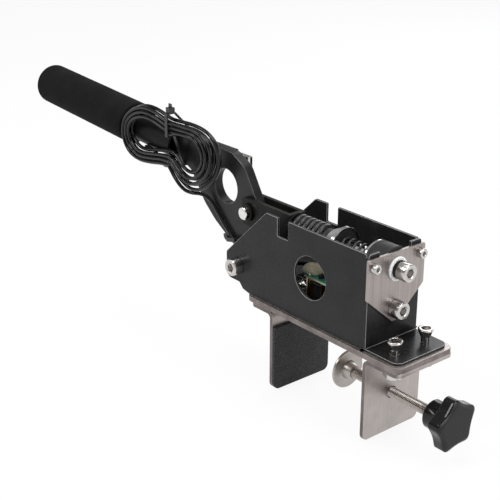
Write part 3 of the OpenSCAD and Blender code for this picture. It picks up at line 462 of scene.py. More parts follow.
def turned(name, stations, centre, axis, slot, body, closed=False, sides=72, turn=0.0, sharp=38):
    """Piece turned about an axis.

    A station is how far along the axis it lies, its radius, and for a hexagon also its half width.
    """
    across, up, along = axis_frame(axis)
    centre = Vector(centre)
    points = []
    rings = []
    for height, radius, *hexagon in stations:
        middle = centre + along * height
        if radius <= 0:
            rings.append([len(points)])
            points.append(middle * MM)
            continue
        ring = []
        for k in range(sides):
            angle = 2 * math.pi * k / sides
            r = radius
            if hexagon:
                part = (math.degrees(angle) - turn) % 60 - 30
                r = min(radius, hexagon[0] / math.cos(math.radians(part)))
            ring.append(len(points))
            points.append((middle + across * (r * math.cos(angle)) + up * (r * math.sin(angle))) * MM)
        rings.append(ring)
    faces = []
    pairs = list(zip(rings, rings[1:]))
    if closed:
        pairs.append((rings[-1], rings[0]))
    for low, high in pairs:
        if len(low) == 1 and len(high) == 1:
            continue
        for k in range(sides):
            n = (k + 1) % sides
            if len(low) == 1:
                faces.append((low[0], high[k], high[n]))
            elif len(high) == 1:
                faces.append((low[k], low[n], high[0]))
            else:
                faces.append((low[k], low[n], high[n], high[k]))
    return add_piece(name, points, faces, slot, sharp, body)


def refine(node, slot, body, edge, segments=2):
    """Clean copy of a CAD solid with rounded edges, shown in the place of the plain one."""
    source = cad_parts[node]
    work = bmesh.new()
    work.from_mesh(source.data)
    work.transform(source.matrix_world)
    bmesh.ops.remove_doubles(work, verts=work.verts, dist=2e-7)
    bmesh.ops.dissolve_limit(
        work, angle_limit=math.radians(0.4), verts=work.verts, edges=work.edges, delimit={"NORMAL"}
    )
    bmesh.ops.recalc_face_normals(work, faces=work.faces)
    mesh = bpy.data.meshes.new(node + "_finished")
    work.to_mesh(mesh)
    work.free()
    piece = bpy.data.objects.new(node + "_finished", mesh)
    bpy.context.scene.collection.objects.link(piece)
    piece.data.materials.append(MATERIALS[slot])
    for face in mesh.polygons:
        face.use_smooth = True
    bevel = piece.modifiers.new("edge", "BEVEL")
    bevel.width = edge * MM
    bevel.segments = segments
    bevel.limit_method = "ANGLE"
    bevel.angle_limit = math.radians(30)
    bevel.miter_outer = "MITER_ARC"
    # Clamping would hold back the whole bevel of the housing at its shortest edges
    bevel.use_clamp_overlap = node != "housing"
    # The bevel faces take a lighter look of the slot: a painted highlight along the rounded edges
    if slot in EDGE_HIGHLIGHTS:
        piece.data.materials.append(EDGE_HIGHLIGHTS[slot])
        bevel.material = 1
    weighted = piece.modifiers.new("normals", "WEIGHTED_NORMAL")
    weighted.mode = "FACE_AREA"
    weighted.weight = 50
    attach(piece, body)
    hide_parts(node)
    return piece


def threaded(name, start, axis, length, radius, pitch, body="frame", chamfer=0.8, sides=40):
    """Rod with a real helical thread in the look of the bolts, its ends chamfered."""
    across, up, along = axis_frame(axis)
    start = Vector(start)
    depth = 0.6 * pitch
    steps = round(length / pitch * 6)
    points = []
    for i in range(steps + 1):
        at = length * i / steps
        limit = radius - max(0, chamfer - min(at, length - at))
        middle = start + along * at
        for k in range(sides):
            angle = 2 * math.pi * k / sides
            phase = (at / pitch - k / sides) % 1
            groove = max(0, 1 - abs(phase - 0.5) * 2.6)
            r = min(radius - depth * groove, limit)
            points.append((middle + across * (r * math.cos(angle)) + up * (r * math.sin(angle))) * MM)
    return add_piece(name, points, ring_faces(steps + 1, sides), "zinc_bolt", 50, body)


def cap_head(name, seat, axis, size, body="frame"):
    """Socket cap head of (diameter, height, key) on its seat: chamfered rim, coned socket floor."""
    head_d, head_h, key = size
    r = head_d / 2
    rim = 0.09 * r
    deep = 0.6 * head_h
    flat = key / 2
    stations = [
        (0, 0.5 * r), (0, r - 0.5 * rim), (0.5 * rim, r), (head_h - 1.6 * rim, r),
        (head_h - 0.7 * rim, r - 0.3 * rim), (head_h - 0.15 * rim, r - 0.9 * rim),
        (head_h, r - 1.9 * rim), (head_h, flat * 1.28), (head_h - 0.1 * flat, flat * 1.17),
        (head_h - 0.12 * flat, flat * 1.16, flat), (head_h - deep, flat * 1.155, flat),
        (head_h - deep, flat * 0.98), (head_h - deep - 0.3 * flat, 0),
    ]
    return turned(name, stations, seat, axis, "zinc_bolt", body, sides=96)


def hex_nut(name, base, axis, width, height, hole, turn, slot="zinc_bolt"):
    """Hexagon nut with both rims chamfered and a countersunk hole."""
    flat = width / 2
    corner = flat / math.cos(math.radians(30))
    cut = 0.12 * flat
    lead = 0.08 * flat
    stations = [
        (0, flat * 0.95), (cut, corner, flat), (height - cut, corner, flat), (height, flat * 0.95),
        (height, hole + lead), (height - lead, hole), (lead, hole), (0, hole + lead),
    ]
    return turned(name, stations, base, axis, slot, "frame", closed=True, sides=96, turn=turn, sharp=30)


# Housing, base, brackets, plates and board, with the width of their rounded edges

refine("housing", "black_powder_coat", "frame", 0.32)
refine("base_plate", "raw_steel", "frame", 0.3).data.materials[0] = PLATE_STEEL
refine("rear_bracket", "raw_steel", "frame", 0.3)
refine("front_bracket", "raw_steel", "frame", 0.3)
refine("rear_pad", "twill_rubber", "frame", 0.4)
refine("front_plate", "stainless", "frame", 0.2)
refine("lever_plate", "lever_paint", "lever", 0.5)
refine("clevis", "blackened_steel", "push_rod", 0.4)
refine("magnet_holder", "black_rubber", "cup", 0.3)
refine("circuit_board", "board_green", "frame", 0.12)
refine("board_chip", "chip_plastic", "frame", 0.1)
refine("board_parts", "chip_plastic", "frame", 0.1)
refine("board_header", "chip_plastic", "frame", 0.15)
refine("hall_sensor", "chip_plastic", "frame", 0.08)
refine("lever_tie", "tie_nylon", "lever", 0.2)
refine("hank_tie", "tie_nylon", "lever", 0.2)
refine("plug_body", "black_rubber", "lever", 0.5, 3)
refine("plug_shell", "plug_metal", "lever", 0.08)


# Bolts, nuts and the board's posts; head sizes are diameter, height and key

M8_HEAD = (13, 8, 6)
M4_HEAD = (7, 4, 3)
M8_R = 4
M6_R = 3
M8_PITCH = 1.25
M6_PITCH = 1
BASE_HEAD = [
    (0, 2.9), (0.3, 3.4), (1.2, 3.9), (2.8, 4.6), (4.4, 5.1), (5.2, 5.4), (5.9, 5.4), (6.3, 5.1),
    (6.4, 4.8), (6.4, 3.8), (6.2, 3.6), (6.1, 3.47, 3), (2.5, 3.46, 3), (2.5, 2.9), (1.7, 0),
]
BASE_NECK = [(0, 0), (0, 3), (10.1, 3), (10.1, 0)]
BUTTON_HEAD = [
    (0, 2), (0, 5.2), (0.4, 5.25), (1, 5.1), (2, 4.4), (2.8, 3.4), (3.2, 2.5), (3.3, 2.4),
    (3.2, 2.32, 2), (1.6, 2.31, 2), (1.6, 1.9), (1.2, 0),
]
PIVOT_SHANK = [(0, 0), (0, 4), (52, 4), (52, 0)]
BOARD_POST = [
    (0, 2.5, 2.2), (22.6, 2.5, 2.2), (23, 2.1), (23, 1.3), (17, 1.3), (17, 0.6), (0, 0.6),
]
BOARD_HEAD = [
    (0, 1.25), (0, 2.1), (0.3, 2.2), (0.8, 2.1), (1.3, 1.6), (1.6, 0.85), (1.6, 0.8),
    (0.9, 0.55, 0.5), (0.8, 0),
]

for k, side in enumerate((-1, 1)):
    x = BASE_BOLT_X
    y = BASE_BOLT_Y * side
    replace(
        "base_bolts",
        turned(
            f"base_bolt_head_{k}", BASE_HEAD, (x, y, 9.9), Z_AXIS, "zinc_bolt", "frame", sides=96
        ),
        turned(f"base_bolt_neck_{k}", BASE_NECK, (x, y, 0), Z_AXIS, "zinc_bolt", "frame"),
        threaded(f"base_bolt_shank_{k}", (x, y, -13), Z_AXIS, 13.2, M6_R, M6_PITCH),
    )
    replace("base_nuts", hex_nut(f"base_nut_{k}", (x, y, -11), Z_AXIS, 12.5, 8, M6_R, 8 + 20 * k))
    x = REAR_BOLT_X
    replace(
        "rear_bolts",
        turned(
            f"rear_bolt_head_{k}", BUTTON_HEAD, (x, y, 6), Z_AXIS, "zinc_bolt", "frame", sides=96
        ),
        threaded(f"rear_bolt_shank_{k}", (x, y, -10), Z_AXIS, 16.5, M6_R, M6_PITCH),
    )
    replace("rear_nuts", hex_nut(f"rear_nut_{k}", (x, y, -8), Z_AXIS, 10, 5, M6_R, 15 * k))
    y = PLATE_SCREW_Y * side
    replace(
        "plate_screws",
        cap_head(f"plate_screw_head_{k}", (PLATE_X, y, PLATE_SCREW_Z), X_AXIS, M4_HEAD),
        threaded(
            f"plate_screw_shank_{k}", (43, y, PLATE_SCREW_Z), X_AXIS, 4.2, 1.95, 0.7, chamfer=0.3
        ),
    )

replace(
    "lower_bolt",
    cap_head("lower_bolt_head", (PLATE_X, 0, LOWER_BOLT_Z), X_AXIS, M8_HEAD),
    threaded("lower_bolt_shank", (34.5, 0, LOWER_BOLT_Z), X_AXIS, 12.8, M8_R, M8_PITCH),
)
replace("lower_nut", hex_nut("lower_nut_hex", (36.5, 0, LOWER_BOLT_Z), X_AXIS, 13, 6.5, M8_R, 12))
replace(
    "pivot_bolt",
    cap_head("pivot_bolt_head", (PIVOT_X, -25, PIVOT_Z), (0, -1, 0), M8_HEAD),
    turned(
        "pivot_bolt_shank", PIVOT_SHANK, (PIVOT_X, -26, PIVOT_Z), Y_AXIS, "zinc_bolt", "frame"
    ),
    threaded("pivot_bolt_tip", (PIVOT_X, 25.5, PIVOT_Z), Y_AXIS, 8, 3.95, M8_PITCH),
)
replace("pivot_nut", hex_nut("pivot_nut_hex", (PIVOT_X, 25, PIVOT_Z), Y_AXIS, 13, 6.5, M8_R, 9))
replace(
    "clamp_nut",
    hex_nut("clamp_nut_hex", (39, 0, CLAMP_Z), X_AXIS, 13, 6.5, 4.05, 4, "raw_steel"),
)

for k, (x, y) in enumerate(((-30.5, -7), (-30.5, 7), (3.5, -7), (3.5, 7))):
    replace(
        "board_posts",
        turned(
            f"board_post_{k}", BOARD_POST, (x, y, 6), Z_AXIS, "bronze", "frame",
            closed=True, sides=48, sharp=25,
        ),
    )
    replace(
        "board_screws",
        turned(
            f"board_screw_{k}", BOARD_HEAD, (x, y, 30.6), Z_AXIS, "zinc_bolt", "frame", sides=48
        ),
        threaded(
            f"board_screw_shank_{k}", (x, y, 24), Z_AXIS, 6.5, 1.22, 0.45, chamfer=0.3, sides=24
        ),
    )


# Push rod, damper and springs

def on_rod(name, slot, body, stations, closed=True):
    """Piece turned about the push rod; a station is the part's x and the radius."""
    return turned(name, stations, (0, 0, ROD_Z), X_AXIS, slot, body, closed, 96)


replace("rod_bush", on_rod("rod_bush_turned", "white_nylon", "frame", [
    (40, 4.05), (40, 5.7), (40.3, 6), (47, 6), (47, 8.2), (47.3, 8.5), (48.3, 8.5), (48.7, 8.1),
    (48.7, 4.4), (48.4, 4.05),
]))
replace("damper", on_rod("damper_moulded", "black_rubber", "frame", [
    (29.5, 4.5), (29.5, 14.2), (30, 14.7), (31.5, 14.7), (31.9, 14.3), (33.4, 14.3), (33.8, 14.7),
    (44.6, 14.7), (45, 14.3), (45, 6), (40, 6), (40, 4.5),
]))
replace("damper_washer", on_rod("damper_washer_turned", "bright_chrome", "frame", [
    (28, 4.5), (28, 14.4), (28.3, 14.7), (29.2, 14.7), (29.5, 14.4), (29.5, 4.5),
]))
replace("end_washer", on_rod("end_washer_turned", "blackened_steel", "push_rod", [
    (48.7, 4), (48.7, 6.2), (49, 6.5), (51, 6.5), (51.3, 6.2), (51.3, 4),
]))
replace("seat_washer", on_rod("seat_washer_turned", "blackened_steel", "push_rod", [
    (-52.7, 4), (-52.7, 11.1), (-52.4, 11.4), (-51.5, 11.4), (-51.2, 11.1), (-51.2, 4),
]))
replace(
    "rod_bolt",
    cap_head("rod_bolt_head", (51.3, 0, ROD_Z), X_AXIS, M8_HEAD, "push_rod"),
    on_rod("rod_bolt_shank", "bright_chrome", "push_rod", [
        (-38.5, 0), (-38.5, 3.6), (-38.1, 4), (51.4, 4), (51.4, 0),
    ], closed=False),
    threaded("rod_bolt_thread", (-56.7, 0, ROD_Z), X_AXIS, 18.5, 3.98, M8_PITCH, "push_rod"),
)

cup_stations = [(-14.2, 4.05), (-14.2, 9.6), (-13.9, 9.95)]
for k in range(9):
    x = -13.4 + 0.92 * k
    r = 10.15 + 0.43 * k
    cup_stations += [(x, r), (x + 0.3, r - 0.3), (x + 0.5, r - 0.25), (x + 0.75, r + 0.3)]
cup_stations += [
    (-5.1, 14.1), (-4.9, 14.5), (-2.3, 14.5), (-2, 14.2), (-2, 13.2), (-2.2, 13), (-4, 13),
    (-4, 4.05),
]
replace("spring_cup", on_rod("spring_cup_turned", "bright_chrome", "cup", cup_stations))
replace("cup_pad", on_rod("cup_pad_moulded", "black_rubber", "cup", [
    (-4, 4.3), (-4, 12.9), (-3.3, 12.9), (-3, 12.6), (-3, 4.3),
]))
replace("neck_sleeve", on_rod("neck_sleeve_moulded", "black_rubber", "cup", [
    (-20.2, 4.05), (-20.2, 8.1), (-19.8, 8.5), (-14.6, 8.5), (-14.2, 8.1), (-14.2, 4.05),
]))
MAGNET = [(0, 0), (0, 1.8), (0.2, 2), (1.8, 2), (2, 1.8), (2, 0)]
replace(
    "sensor_magnet",
    turned("sensor_magnet_turned", MAGNET, (-17.2, 0, 46.5), Z_AXIS, "bright_chrome", "cup"),
)


def helix(x0, length, outer, wire, turns):
    """Middle line of a closed-end coil along the rod, in metres."""
    per_turn = 40
    flat = 0.12
    slope = (length - wire) / (turns - 2 * flat)
    r = (outer - wire) / 2
    count = round(turns * per_turn)
    path = []
    for i in range(count + 1):
        t = turns * i / count
        rise = slope * min(max(t - flat, 0), turns - 2 * flat)
        angle = 2 * math.pi * t
        path.append(mm(x0 + wire / 2 + rise, r * math.cos(angle), ROD_Z + r * math.sin(angle)))
    return path


def coil(name, x0, length, outer, wire, turns, body):
    """Coil spring from x0 on, its wire ground flat at both ends."""
    sides = 18
    path = helix(x0, length, outer, wire, turns)
    points = []
    for i, p in enumerate(path):
        ahead = (path[min(i + 1, len(path) - 1)] - path[max(i - 1, 0)]).normalized()
        out = Vector((0, p.y, p.z - ROD_Z * MM)).normalized()
        side = ahead.cross(out).normalized()
        for k in range(sides):
            angle = 2 * math.pi * k / sides
            at = p + (out * math.cos(angle) + side * math.sin(angle)) * (wire / 2 * MM)
            at.x = min(max(at.x, x0 * MM), (x0 + length) * MM)
            points.append(at)
    return add_piece(name, points, ring_faces(len(path), sides), "black_spring", 45, body)


# Coil springs on the rod, each riding on the body at one of its ends
spring = coil("soft_spring_wound", -3, 31, 16, 2, 5.5, "frame")
replace("soft_spring", spring)
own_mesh(spring)
spring = coil("stiff_spring_wound", -51.2, 31, 22, 4.2, 5.6, "cup")
replace("stiff_spring", spring)
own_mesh(spring)


# Lever pieces

PIVOT_BUSH = [(0, 4.05), (0, 5.8), (0.2, 6), (8, 6), (8.2, 5.8), (8.2, 4.05)]
PIVOT_SPACER = [(0, 4.05), (0, 6.7), (0.3, 7), (18.5, 7), (18.8, 6.7), (18.8, 4.05)]
CLEVIS_PIN = [
    (0, 0), (0.1, 3.8), (0.5, 4.6), (1, 5), (26.8, 5), (27.3, 4.6), (27.7, 3.8), (27.8, 0),
]
PIN_RING = [(0, 5), (0, 6.6), (0.3, 7), (1.7, 7), (2, 6.6), (2, 5)]
TUBE_FRONT = -58.4
TUBE_REAR = 141
TUBE_R = 12.5
TUBE = [
    (TUBE_FRONT, 10.7), (TUBE_FRONT, 12.2), (TUBE_FRONT + 0.3, TUBE_R), (TUBE_REAR - 0.3, TUBE_R),
    (TUBE_REAR, 12.2), (TUBE_REAR, 10.7), (TUBE_REAR - 0.3, 10.5), (TUBE_FRONT + 0.3, 10.5),
]

replace("pivot_bush", turned(
    "pivot_bush_turned", PIVOT_BUSH, (PIVOT_X, -4.1, PIVOT_Z), Y_AXIS, "bronze", "lever", closed=True
))
for k, y in enumerate((-23, 4.2)):
    replace("pivot_spacers", turned(
        f"pivot_spacer_{k}", PIVOT_SPACER, (PIVOT_X, y, PIVOT_Z), Y_AXIS, "blackened_steel", "frame",
        closed=True,
    ))
replace("clevis_pin", turned(
    "clevis_pin_turned", CLEVIS_PIN, (PIN_X, -13.9, ROD_Z), Y_AXIS, "bright_chrome", "lever", sides=96
))
for k, y in enumerate((-10.3, 8.3)):
    replace("pin_rings", turned(
        f"pin_ring_{k}", PIN_RING, (PIN_X, y, ROD_Z), Y_AXIS, "blackened_steel", "lever", closed=True
    ))
tube = turned(
    "handle_tube_drawn", TUBE, HANDLE, HANDLE_DIR, "lever_paint", "lever", closed=True, sides=96
)
tube.data.materials[0] = TUBE_PAINT
replace("handle_tube", tube)


def grip_stations():
    """Foam sleeve: soft front edge, straight side, rounded closed end."""
    front = 4.7
    front_edge = 1.5
    side_end = 141.7
    end_edge = 5
    grip_r = 18
    stations = [(front, TUBE_R), (front, grip_r - front_edge)]
    for k in range(1, 7):
        angle = math.pi / 2 * k / 6
        along = front + front_edge * (1 - math.cos(angle))
        stations.append((along, grip_r - front_edge * (1 - math.sin(angle))))
    for k in range(1, 60):
        stations.append((front + front_edge + (side_end - front - front_edge) * k / 60, grip_r))
    for k in range(11):
        angle = math.pi / 2 * k / 10
        along = side_end + end_edge * math.sin(angle)
        stations.append((along, grip_r - end_edge * (1 - math.cos(angle))))
    for r in (11, 9, 6.5, 4, 2, 0):
        stations.append((side_end + end_edge, r))
    return stations


def make_uneven(grip):
    """Slight waves over the outside of the foam."""
    rng = random.Random(7)
    waves = [(rng.uniform(40, 160), rng.uniform(0, 6.28), rng.randint(1, 5)) for _ in range(9)]
    depth = 0.12 * MM
    across, up, along = axis_frame(HANDLE_DIR)
    for vertex in grip.data.vertices:
        out = vertex.co - HANDLE * MM
        s = out.dot(along)
        flat = out - along * s
        if flat.length < (TUBE_R + 0.1) * MM:
            continue
        angle = math.atan2(flat.dot(up), flat.dot(across))
        bump = sum(math.sin(f * s + p + m * angle) for f, p, m in waves) / len(waves)
        vertex.co += flat.normalized() * (depth * bump - depth)


grip = turned(
    "foam_grip_sleeve", grip_stations(), HANDLE, HANDLE_DIR, "grip_foam", "lever", sides=128
)
make_uneven(grip)
replace("foam_grip", grip)


# Clamp

def on_clamp(name, slot, body, stations, closed=False):
    """Piece turned about the clamp screw; a station is the part's x and the radius."""
    return turned(name, stations, (0, 0, CLAMP_Z), X_AXIS, slot, body, closed, 96)


disc = on_clamp("pressure_disc_turned", "bright_chrome", "disc", [
    (3, 0), (3, 14.1), (3.35, 14.5), (4.6, 14.5), (5, 14.2), (5, 7.4), (5.3, 6.9), (11.6, 5.5),
    (12, 5.2), (12, 4.05), (5, 4.05), (5, 0),
])
disc.data.materials[0] = NICKEL
replace("pressure_disc", disc)
screw = threaded("clamp_screw_thread", (5.4, 0, CLAMP_Z), X_AXIS, 96.1, M8_R, M8_PITCH, "screw")
screw.data.materials[0] = SCREW_STEEL
replace("clamp_screw", screw)
replace("knob_insert", on_clamp("knob_insert_turned", "bronze", "screw", [
    (85.5, 4), (85.5, 5.3), (85.7, 5.5), (101.3, 5.5), (101.5, 5.3), (101.5, 4),
], closed=True))

KNOB_LOBES = 5
KNOB_R = 20
KNOB_CORNER = 4.5
KNOB_HOLLOW_R = 15.2
KNOB_HOLLOW_BEND = 30
KNOB_BORE = 5.6
KNOB_BORE_ENDS = (85.5, 101.5)
KNOB_FRONT = 108.5
SLOPE_R = 12.9
SLOPE_DROP = 1.55
# The hub's x and radius, and the star's x and how far its edge lies inside the outline
KNOB_HUB = (
    (85.5, 5.6), (85.5, 9.6), (85.9, 10.1), (86.4, 10.4), (96.6, 10.4), (97.3, 10.7), (97.8, 11.5),
)
KNOB_STAR = (
    (98, 1.4), (98.1, 0.8), (98.5, 0.25), (99, 0), (101, 0), (103, 0), (105, 0), (106.6, 0),
)


def knob_outline():
    """Five rounded corners with slightly hollow sides between them, as (y, z)."""
    half_corner = math.radians(54)
    reach = KNOB_R + KNOB_CORNER * (1 / math.sin(half_corner) - 1)
    corners = []
    for k in range(KNOB_LOBES):
        for r, turn, bend in ((reach, 24, KNOB_CORNER), (KNOB_HOLLOW_R, 60, KNOB_HOLLOW_BEND)):
            angle = math.radians(360 / KNOB_LOBES * k + turn)
            corners.append((r * math.cos(angle), r * math.sin(angle), bend))
    return [Vector(p) for p in rounded(corners, 14)]


def knob_mesh():
    """Star knob: round hub that flows into the star, small edges, flat front with sloped hollows."""
    outline = knob_outline()
    sides = len(outline)
    angles = [math.atan2(p.y, p.x) for p in outline]
    normals = []
    flats = []
    for k, angle in enumerate(angles):
        along = (outline[(k + 1) % sides] - outline[k - 1]).normalized()
        normals.append(Vector((along.y, -along.x)))
        off = (math.degrees(angle) - 60 + 36) % 72 - 36
        flats.append(SLOPE_R / math.cos(math.radians(off)))
    rings = []
    for x, r in KNOB_HUB:
        rings.append([(x, r * math.cos(a), r * math.sin(a)) for a in angles])
    for x, inset in KNOB_STAR:
        rings.append([(x, *(p - n * inset)) for p, n in zip(outline, normals)])
    # The slopes of the hollows, from the outline at 0 to the flat front at 1
    for part in (0.04, 0.12, 0.25, 0.5, 0.75, 0.95, 1.05, 1.3):
        drop = SLOPE_DROP * (1 - min(1, part)) ** 1.3 + max(0, 0.06 - part) * 6
        ring = []
        for p, flat in zip(outline, flats):
            radius = p.length + (flat - p.length) * part
            ring.append((KNOB_FRONT - drop, *(p.normalized() * radius)))
        rings.append(ring)
    rings.append([(KNOB_FRONT, 5 * math.cos(a), 5 * math.sin(a)) for a in angles])
    points = [mm(x, y, z + CLAMP_Z) for ring in rings for x, y, z in ring]
    faces = ring_faces(len(rings), sides, first=False)
    inner = len(points)
    for x in KNOB_BORE_ENDS:
        for a in angles:
            points.append(mm(x, KNOB_BORE * math.cos(a), CLAMP_Z + KNOB_BORE * math.sin(a)))
    for k in range(sides):
        n = (k + 1) % sides
        faces.append((inner + k, inner + sides + k, inner + sides + n, inner + n))
    faces.append(tuple(inner + sides + k for k in range(sides)))
    return points, faces


points, faces = knob_mesh()
knob = add_piece("star_knob_moulded", points, faces, "knob_plastic", 24, "screw")
replace("star_knob", knob)


# Cable: one continuous run from the board through the hank to the plug

LEAD = [
    (-34, 0, 33.5), (-40, 0, 33.5), (-46, -2, 33), (-53, -5.5, 32), (-60, -9.5, 31.5),
    (-68, -12, 32.5), (-76, -13, 35.5), (-84, -13, 38), (-92, -12.5, 38), (-100, -11, 34.5),
    (-107, -8.8, 29.5), (-112.5, -6.8, 27), (-117, -6, 28), (-121.2, -5.9, 30.6),
]
RISER = [
    (-126, -5.9, 34.4), (-131.3, -5.9, 39), (-137, -5.9, 44), (-142.4, -5.9, 49.2), (-147.6, -6.2, 54),
    (-152.8, -7.8, 57.6), (-158, -10.1, 58.9), (-163.4, -12.9, 58.7), (-168.5, -15.7, 59.8),
    (-173.5, -17.5, 62.9), (-178.5, -18, 66.8), (-182.5, -17.95, 70), (-185, -17.9, 72.5),
    (-187.2, -17.9, 74.6),
]
TAIL = [
    (-193.3, -14.4, 74.2), (-198, -14.1, 73.3), (-203, -12.7, 72.9), (-208, -11.1, 74.2),
    (-213, -11.1, 77.4), (-218.5, -11.1, 80.4), (-224.5, -11.1, 81.7), (-230, -10.6, 81.3),
    (-235.3, -8, 79.3), (-239, -3.6, 77.4), (-240, 2, 76.6), (-237.6, 7.2, 76.2), (-231.6, 10.6, 75.2),
    (-223.5, 11.4, 74), (-215.5, 11.2, 73.4), (-208.5, 10.6, 73.8), (-202, 9.6, 75.4),
    (-195, 8.6, 78.2), (-189, 8.2, 81.8), (-183.5, 8.2, 85.4), (-178.5, 8.2, 88.2), (-175, 8.2, 89.4),
    (-172, 8.2, 89.5),
]
HANK_OUTER = [
    (-189.8, 76.5), (-211, 73.4), (-228.8, 71.3), (-243.5, 73.5), (-252.3, 80.5), (-255.3, 90.6),
    (-251.5, 102.5), (-240.2, 112.3), (-224.5, 118.4), (-209.5, 119), (-197, 116.8), (-185.3, 114.6),
    (-170.5, 115.1), (-156.1, 115.2), (-142.1, 112.9), (-132, 106.6), (-128.1, 97), (-130.2, 86.1),
    (-138.6, 75), (-153, 66.2), (-167, 64.6), (-179, 69.6),
]
HANK_INNER = [
    (-186.5, 87), (-203, 85.6), (-220, 82.4), (-230.5, 82.2), (-238.6, 85.8), (-242.8, 92.6),
    (-240, 99.9), (-232, 104.8), (-221.5, 107.4), (-210.5, 107.2), (-199.6, 105), (-187.6, 103.3),
    (-175.5, 103.9), (-165, 105), (-155.8, 103.8), (-149.6, 98.6), (-147.4, 92), (-149, 86),
    (-153.6, 80.6), (-160.5, 77.6), (-168.5, 77.6), (-176.5, 80.8),
]
HANK_TURNS = 3
HANK_STEPS = 44
NEAR_LAYER_Y = -17.9
LAYER_GAP = 3.5
CABLE_R = 1.5


def smooth_point(p0, p1, p2, p3, t):
    """Point on the Catmull-Rom curve, t of the way from p1 to p2."""
    return 0.5 * (
        2 * p1 + (p2 - p0) * t + (2 * p0 - 5 * p1 + 4 * p2 - p3) * t * t
        + (3 * p1 - p0 - 3 * p2 + p3) * t * t * t
    )


def loop_point(loop, s):
    """Point on a closed smooth curve through the points of a loop."""
    count = len(loop)
    i = math.floor(s)
    near = [Vector(loop[(i + k) % count]) for k in (-1, 0, 1, 2)]
    return smooth_point(*near, s - i)


def hank_point(u):
    """Middle of the cable after u turns: inward in the near layer, outward in the far one."""
    s = len(HANK_OUTER) * u
    shift = min(max((u - HANK_TURNS) * 4, 0), 1) / 2
    inward = (HANK_TURNS - abs(u - HANK_TURNS) - shift) / HANK_TURNS
    a = loop_point(HANK_OUTER, s)
    b = loop_point(HANK_INNER, s)
    at = a + (b - a) * inward
    climb = min(max((u - HANK_TURNS) * 2 + 1, 0), 1)
    return mm(at.x, NEAR_LAYER_Y + LAYER_GAP * climb, at.y)


def smooth_route(points, steps):
    """Catmull-Rom curve through the points."""
    out = []
    count = len(points)
    for i in range(count - 1):
        p0 = points[max(i - 1, 0)]
        p1 = points[i]
        p2 = points[i + 1]
        p3 = points[min(i + 2, count - 1)]
        for k in range(steps):
            out.append(smooth_point(p0, p1, p2, p3, k / steps))
    out.append(points[-1])
    return out


def carried_tube(path, radius, sides):
    """Points of a tube whose rings are carried along the path without twist."""
    points = []
    count = len(path)
    side = Vector((0, 0, 1))
    for i, p in enumerate(path):
        ahead = (path[min(i + 1, count - 1)] - path[max(i - 1, 0)]).normalized()
        side = (side - ahead * side.dot(ahead)).normalized()
        up = ahead.cross(side)
        for k in range(sides):
            angle = 2 * math.pi * k / sides
            points.append(p + side * (radius * math.cos(angle)) + up * (radius * math.sin(angle)))
    return points, ring_faces(count, sides)


cable_turns = [hank_point(k / HANK_STEPS) for k in range(2 * HANK_TURNS * HANK_STEPS + 1)]
cable_path = smooth_route([mm(*p) for p in LEAD + RISER] + cable_turns + [mm(*p) for p in TAIL], 3)
points, faces = carried_tube(cable_path, CABLE_R * MM, 14)
cable = add_piece("cable_run", points, faces, "cable_jacket", 60)
for node in ("cable_lead", "cable_riser", "cable_hank", "cable_tail"):
    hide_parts(node)
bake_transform(cable)


# Glue over the cable's end on the board

def glue_blob():
    """Uneven dome of glue, wider along the board, drawn in at its foot."""
    rng = random.Random(3)
    waves = [(rng.uniform(-1, 1), rng.uniform(-1, 1), rng.uniform(0, 6.28)) for _ in range(8)]
    rings = 22
    sides = 72
    middle_x = -33.5
    foot_z = 30.62
    points = []
    for i in range(rings + 1):
        rise = math.pi / 2 * i / rings
        for k in range(sides):
            angle = 2 * math.pi * k / sides
            wave = 0
            for a, b, c in waves:
                wave += math.sin(4 * a * math.cos(angle) + 4 * b * math.sin(angle) + 3 * rise + c)
            reach = 8.1 + 0.7 * wave / len(waves) - (0.6 if i == 0 else 0)
            x = middle_x + 1.25 * reach * math.cos(rise) * math.cos(angle)
            y = reach * math.cos(rise) * math.sin(angle)
            points.append(mm(x, y, foot_z + 0.68 * reach * math.sin(rise)))
    return points, ring_faces(rings + 1, sides, last=False)


points, faces = glue_blob()
blob = add_piece("hot_glue_blob", points, faces, "glue", 60, "frame")
replace("hot_glue", blob)


# Stage and light

# The bowl's radius and height, in metres
BOWL = [(4, 0), (6.5, 0), (8, 0.08), (9.3, 0.35), (10.3, 0.85), (11, 1.6), (11.2, 2.5)]
FLOOR_SIDES = 96
FLOOR_Z = -0.0636


def bowl_floor():
    """Flat floor that curves up far away, just under the lowest piece."""
    points = [(0, 0, 0)]
    faces = []
    for k in range(FLOOR_SIDES):
        angle = 2 * math.pi * k / FLOOR_SIDES
        points += [(r * math.cos(angle), r * math.sin(angle), z) for r, z in BOWL]
    for k in range(FLOOR_SIDES):
        here = 1 + k * len(BOWL)
        after = 1 + (k + 1) % FLOOR_SIDES * len(BOWL)
        faces.append((0, here, after))
        for i in range(len(BOWL) - 1):
            faces.append((here + i, here + i + 1, after + i + 1, after + i))
    mesh = bpy.data.meshes.new("floor")
    mesh.from_pydata(points, [], faces)
    for face in mesh.polygons:
        face.use_smooth = True
    made = bpy.data.objects.new("floor", mesh)
    made.location = (0, 0, FLOOR_Z)
    bpy.context.scene.collection.objects.link(made)
    return made


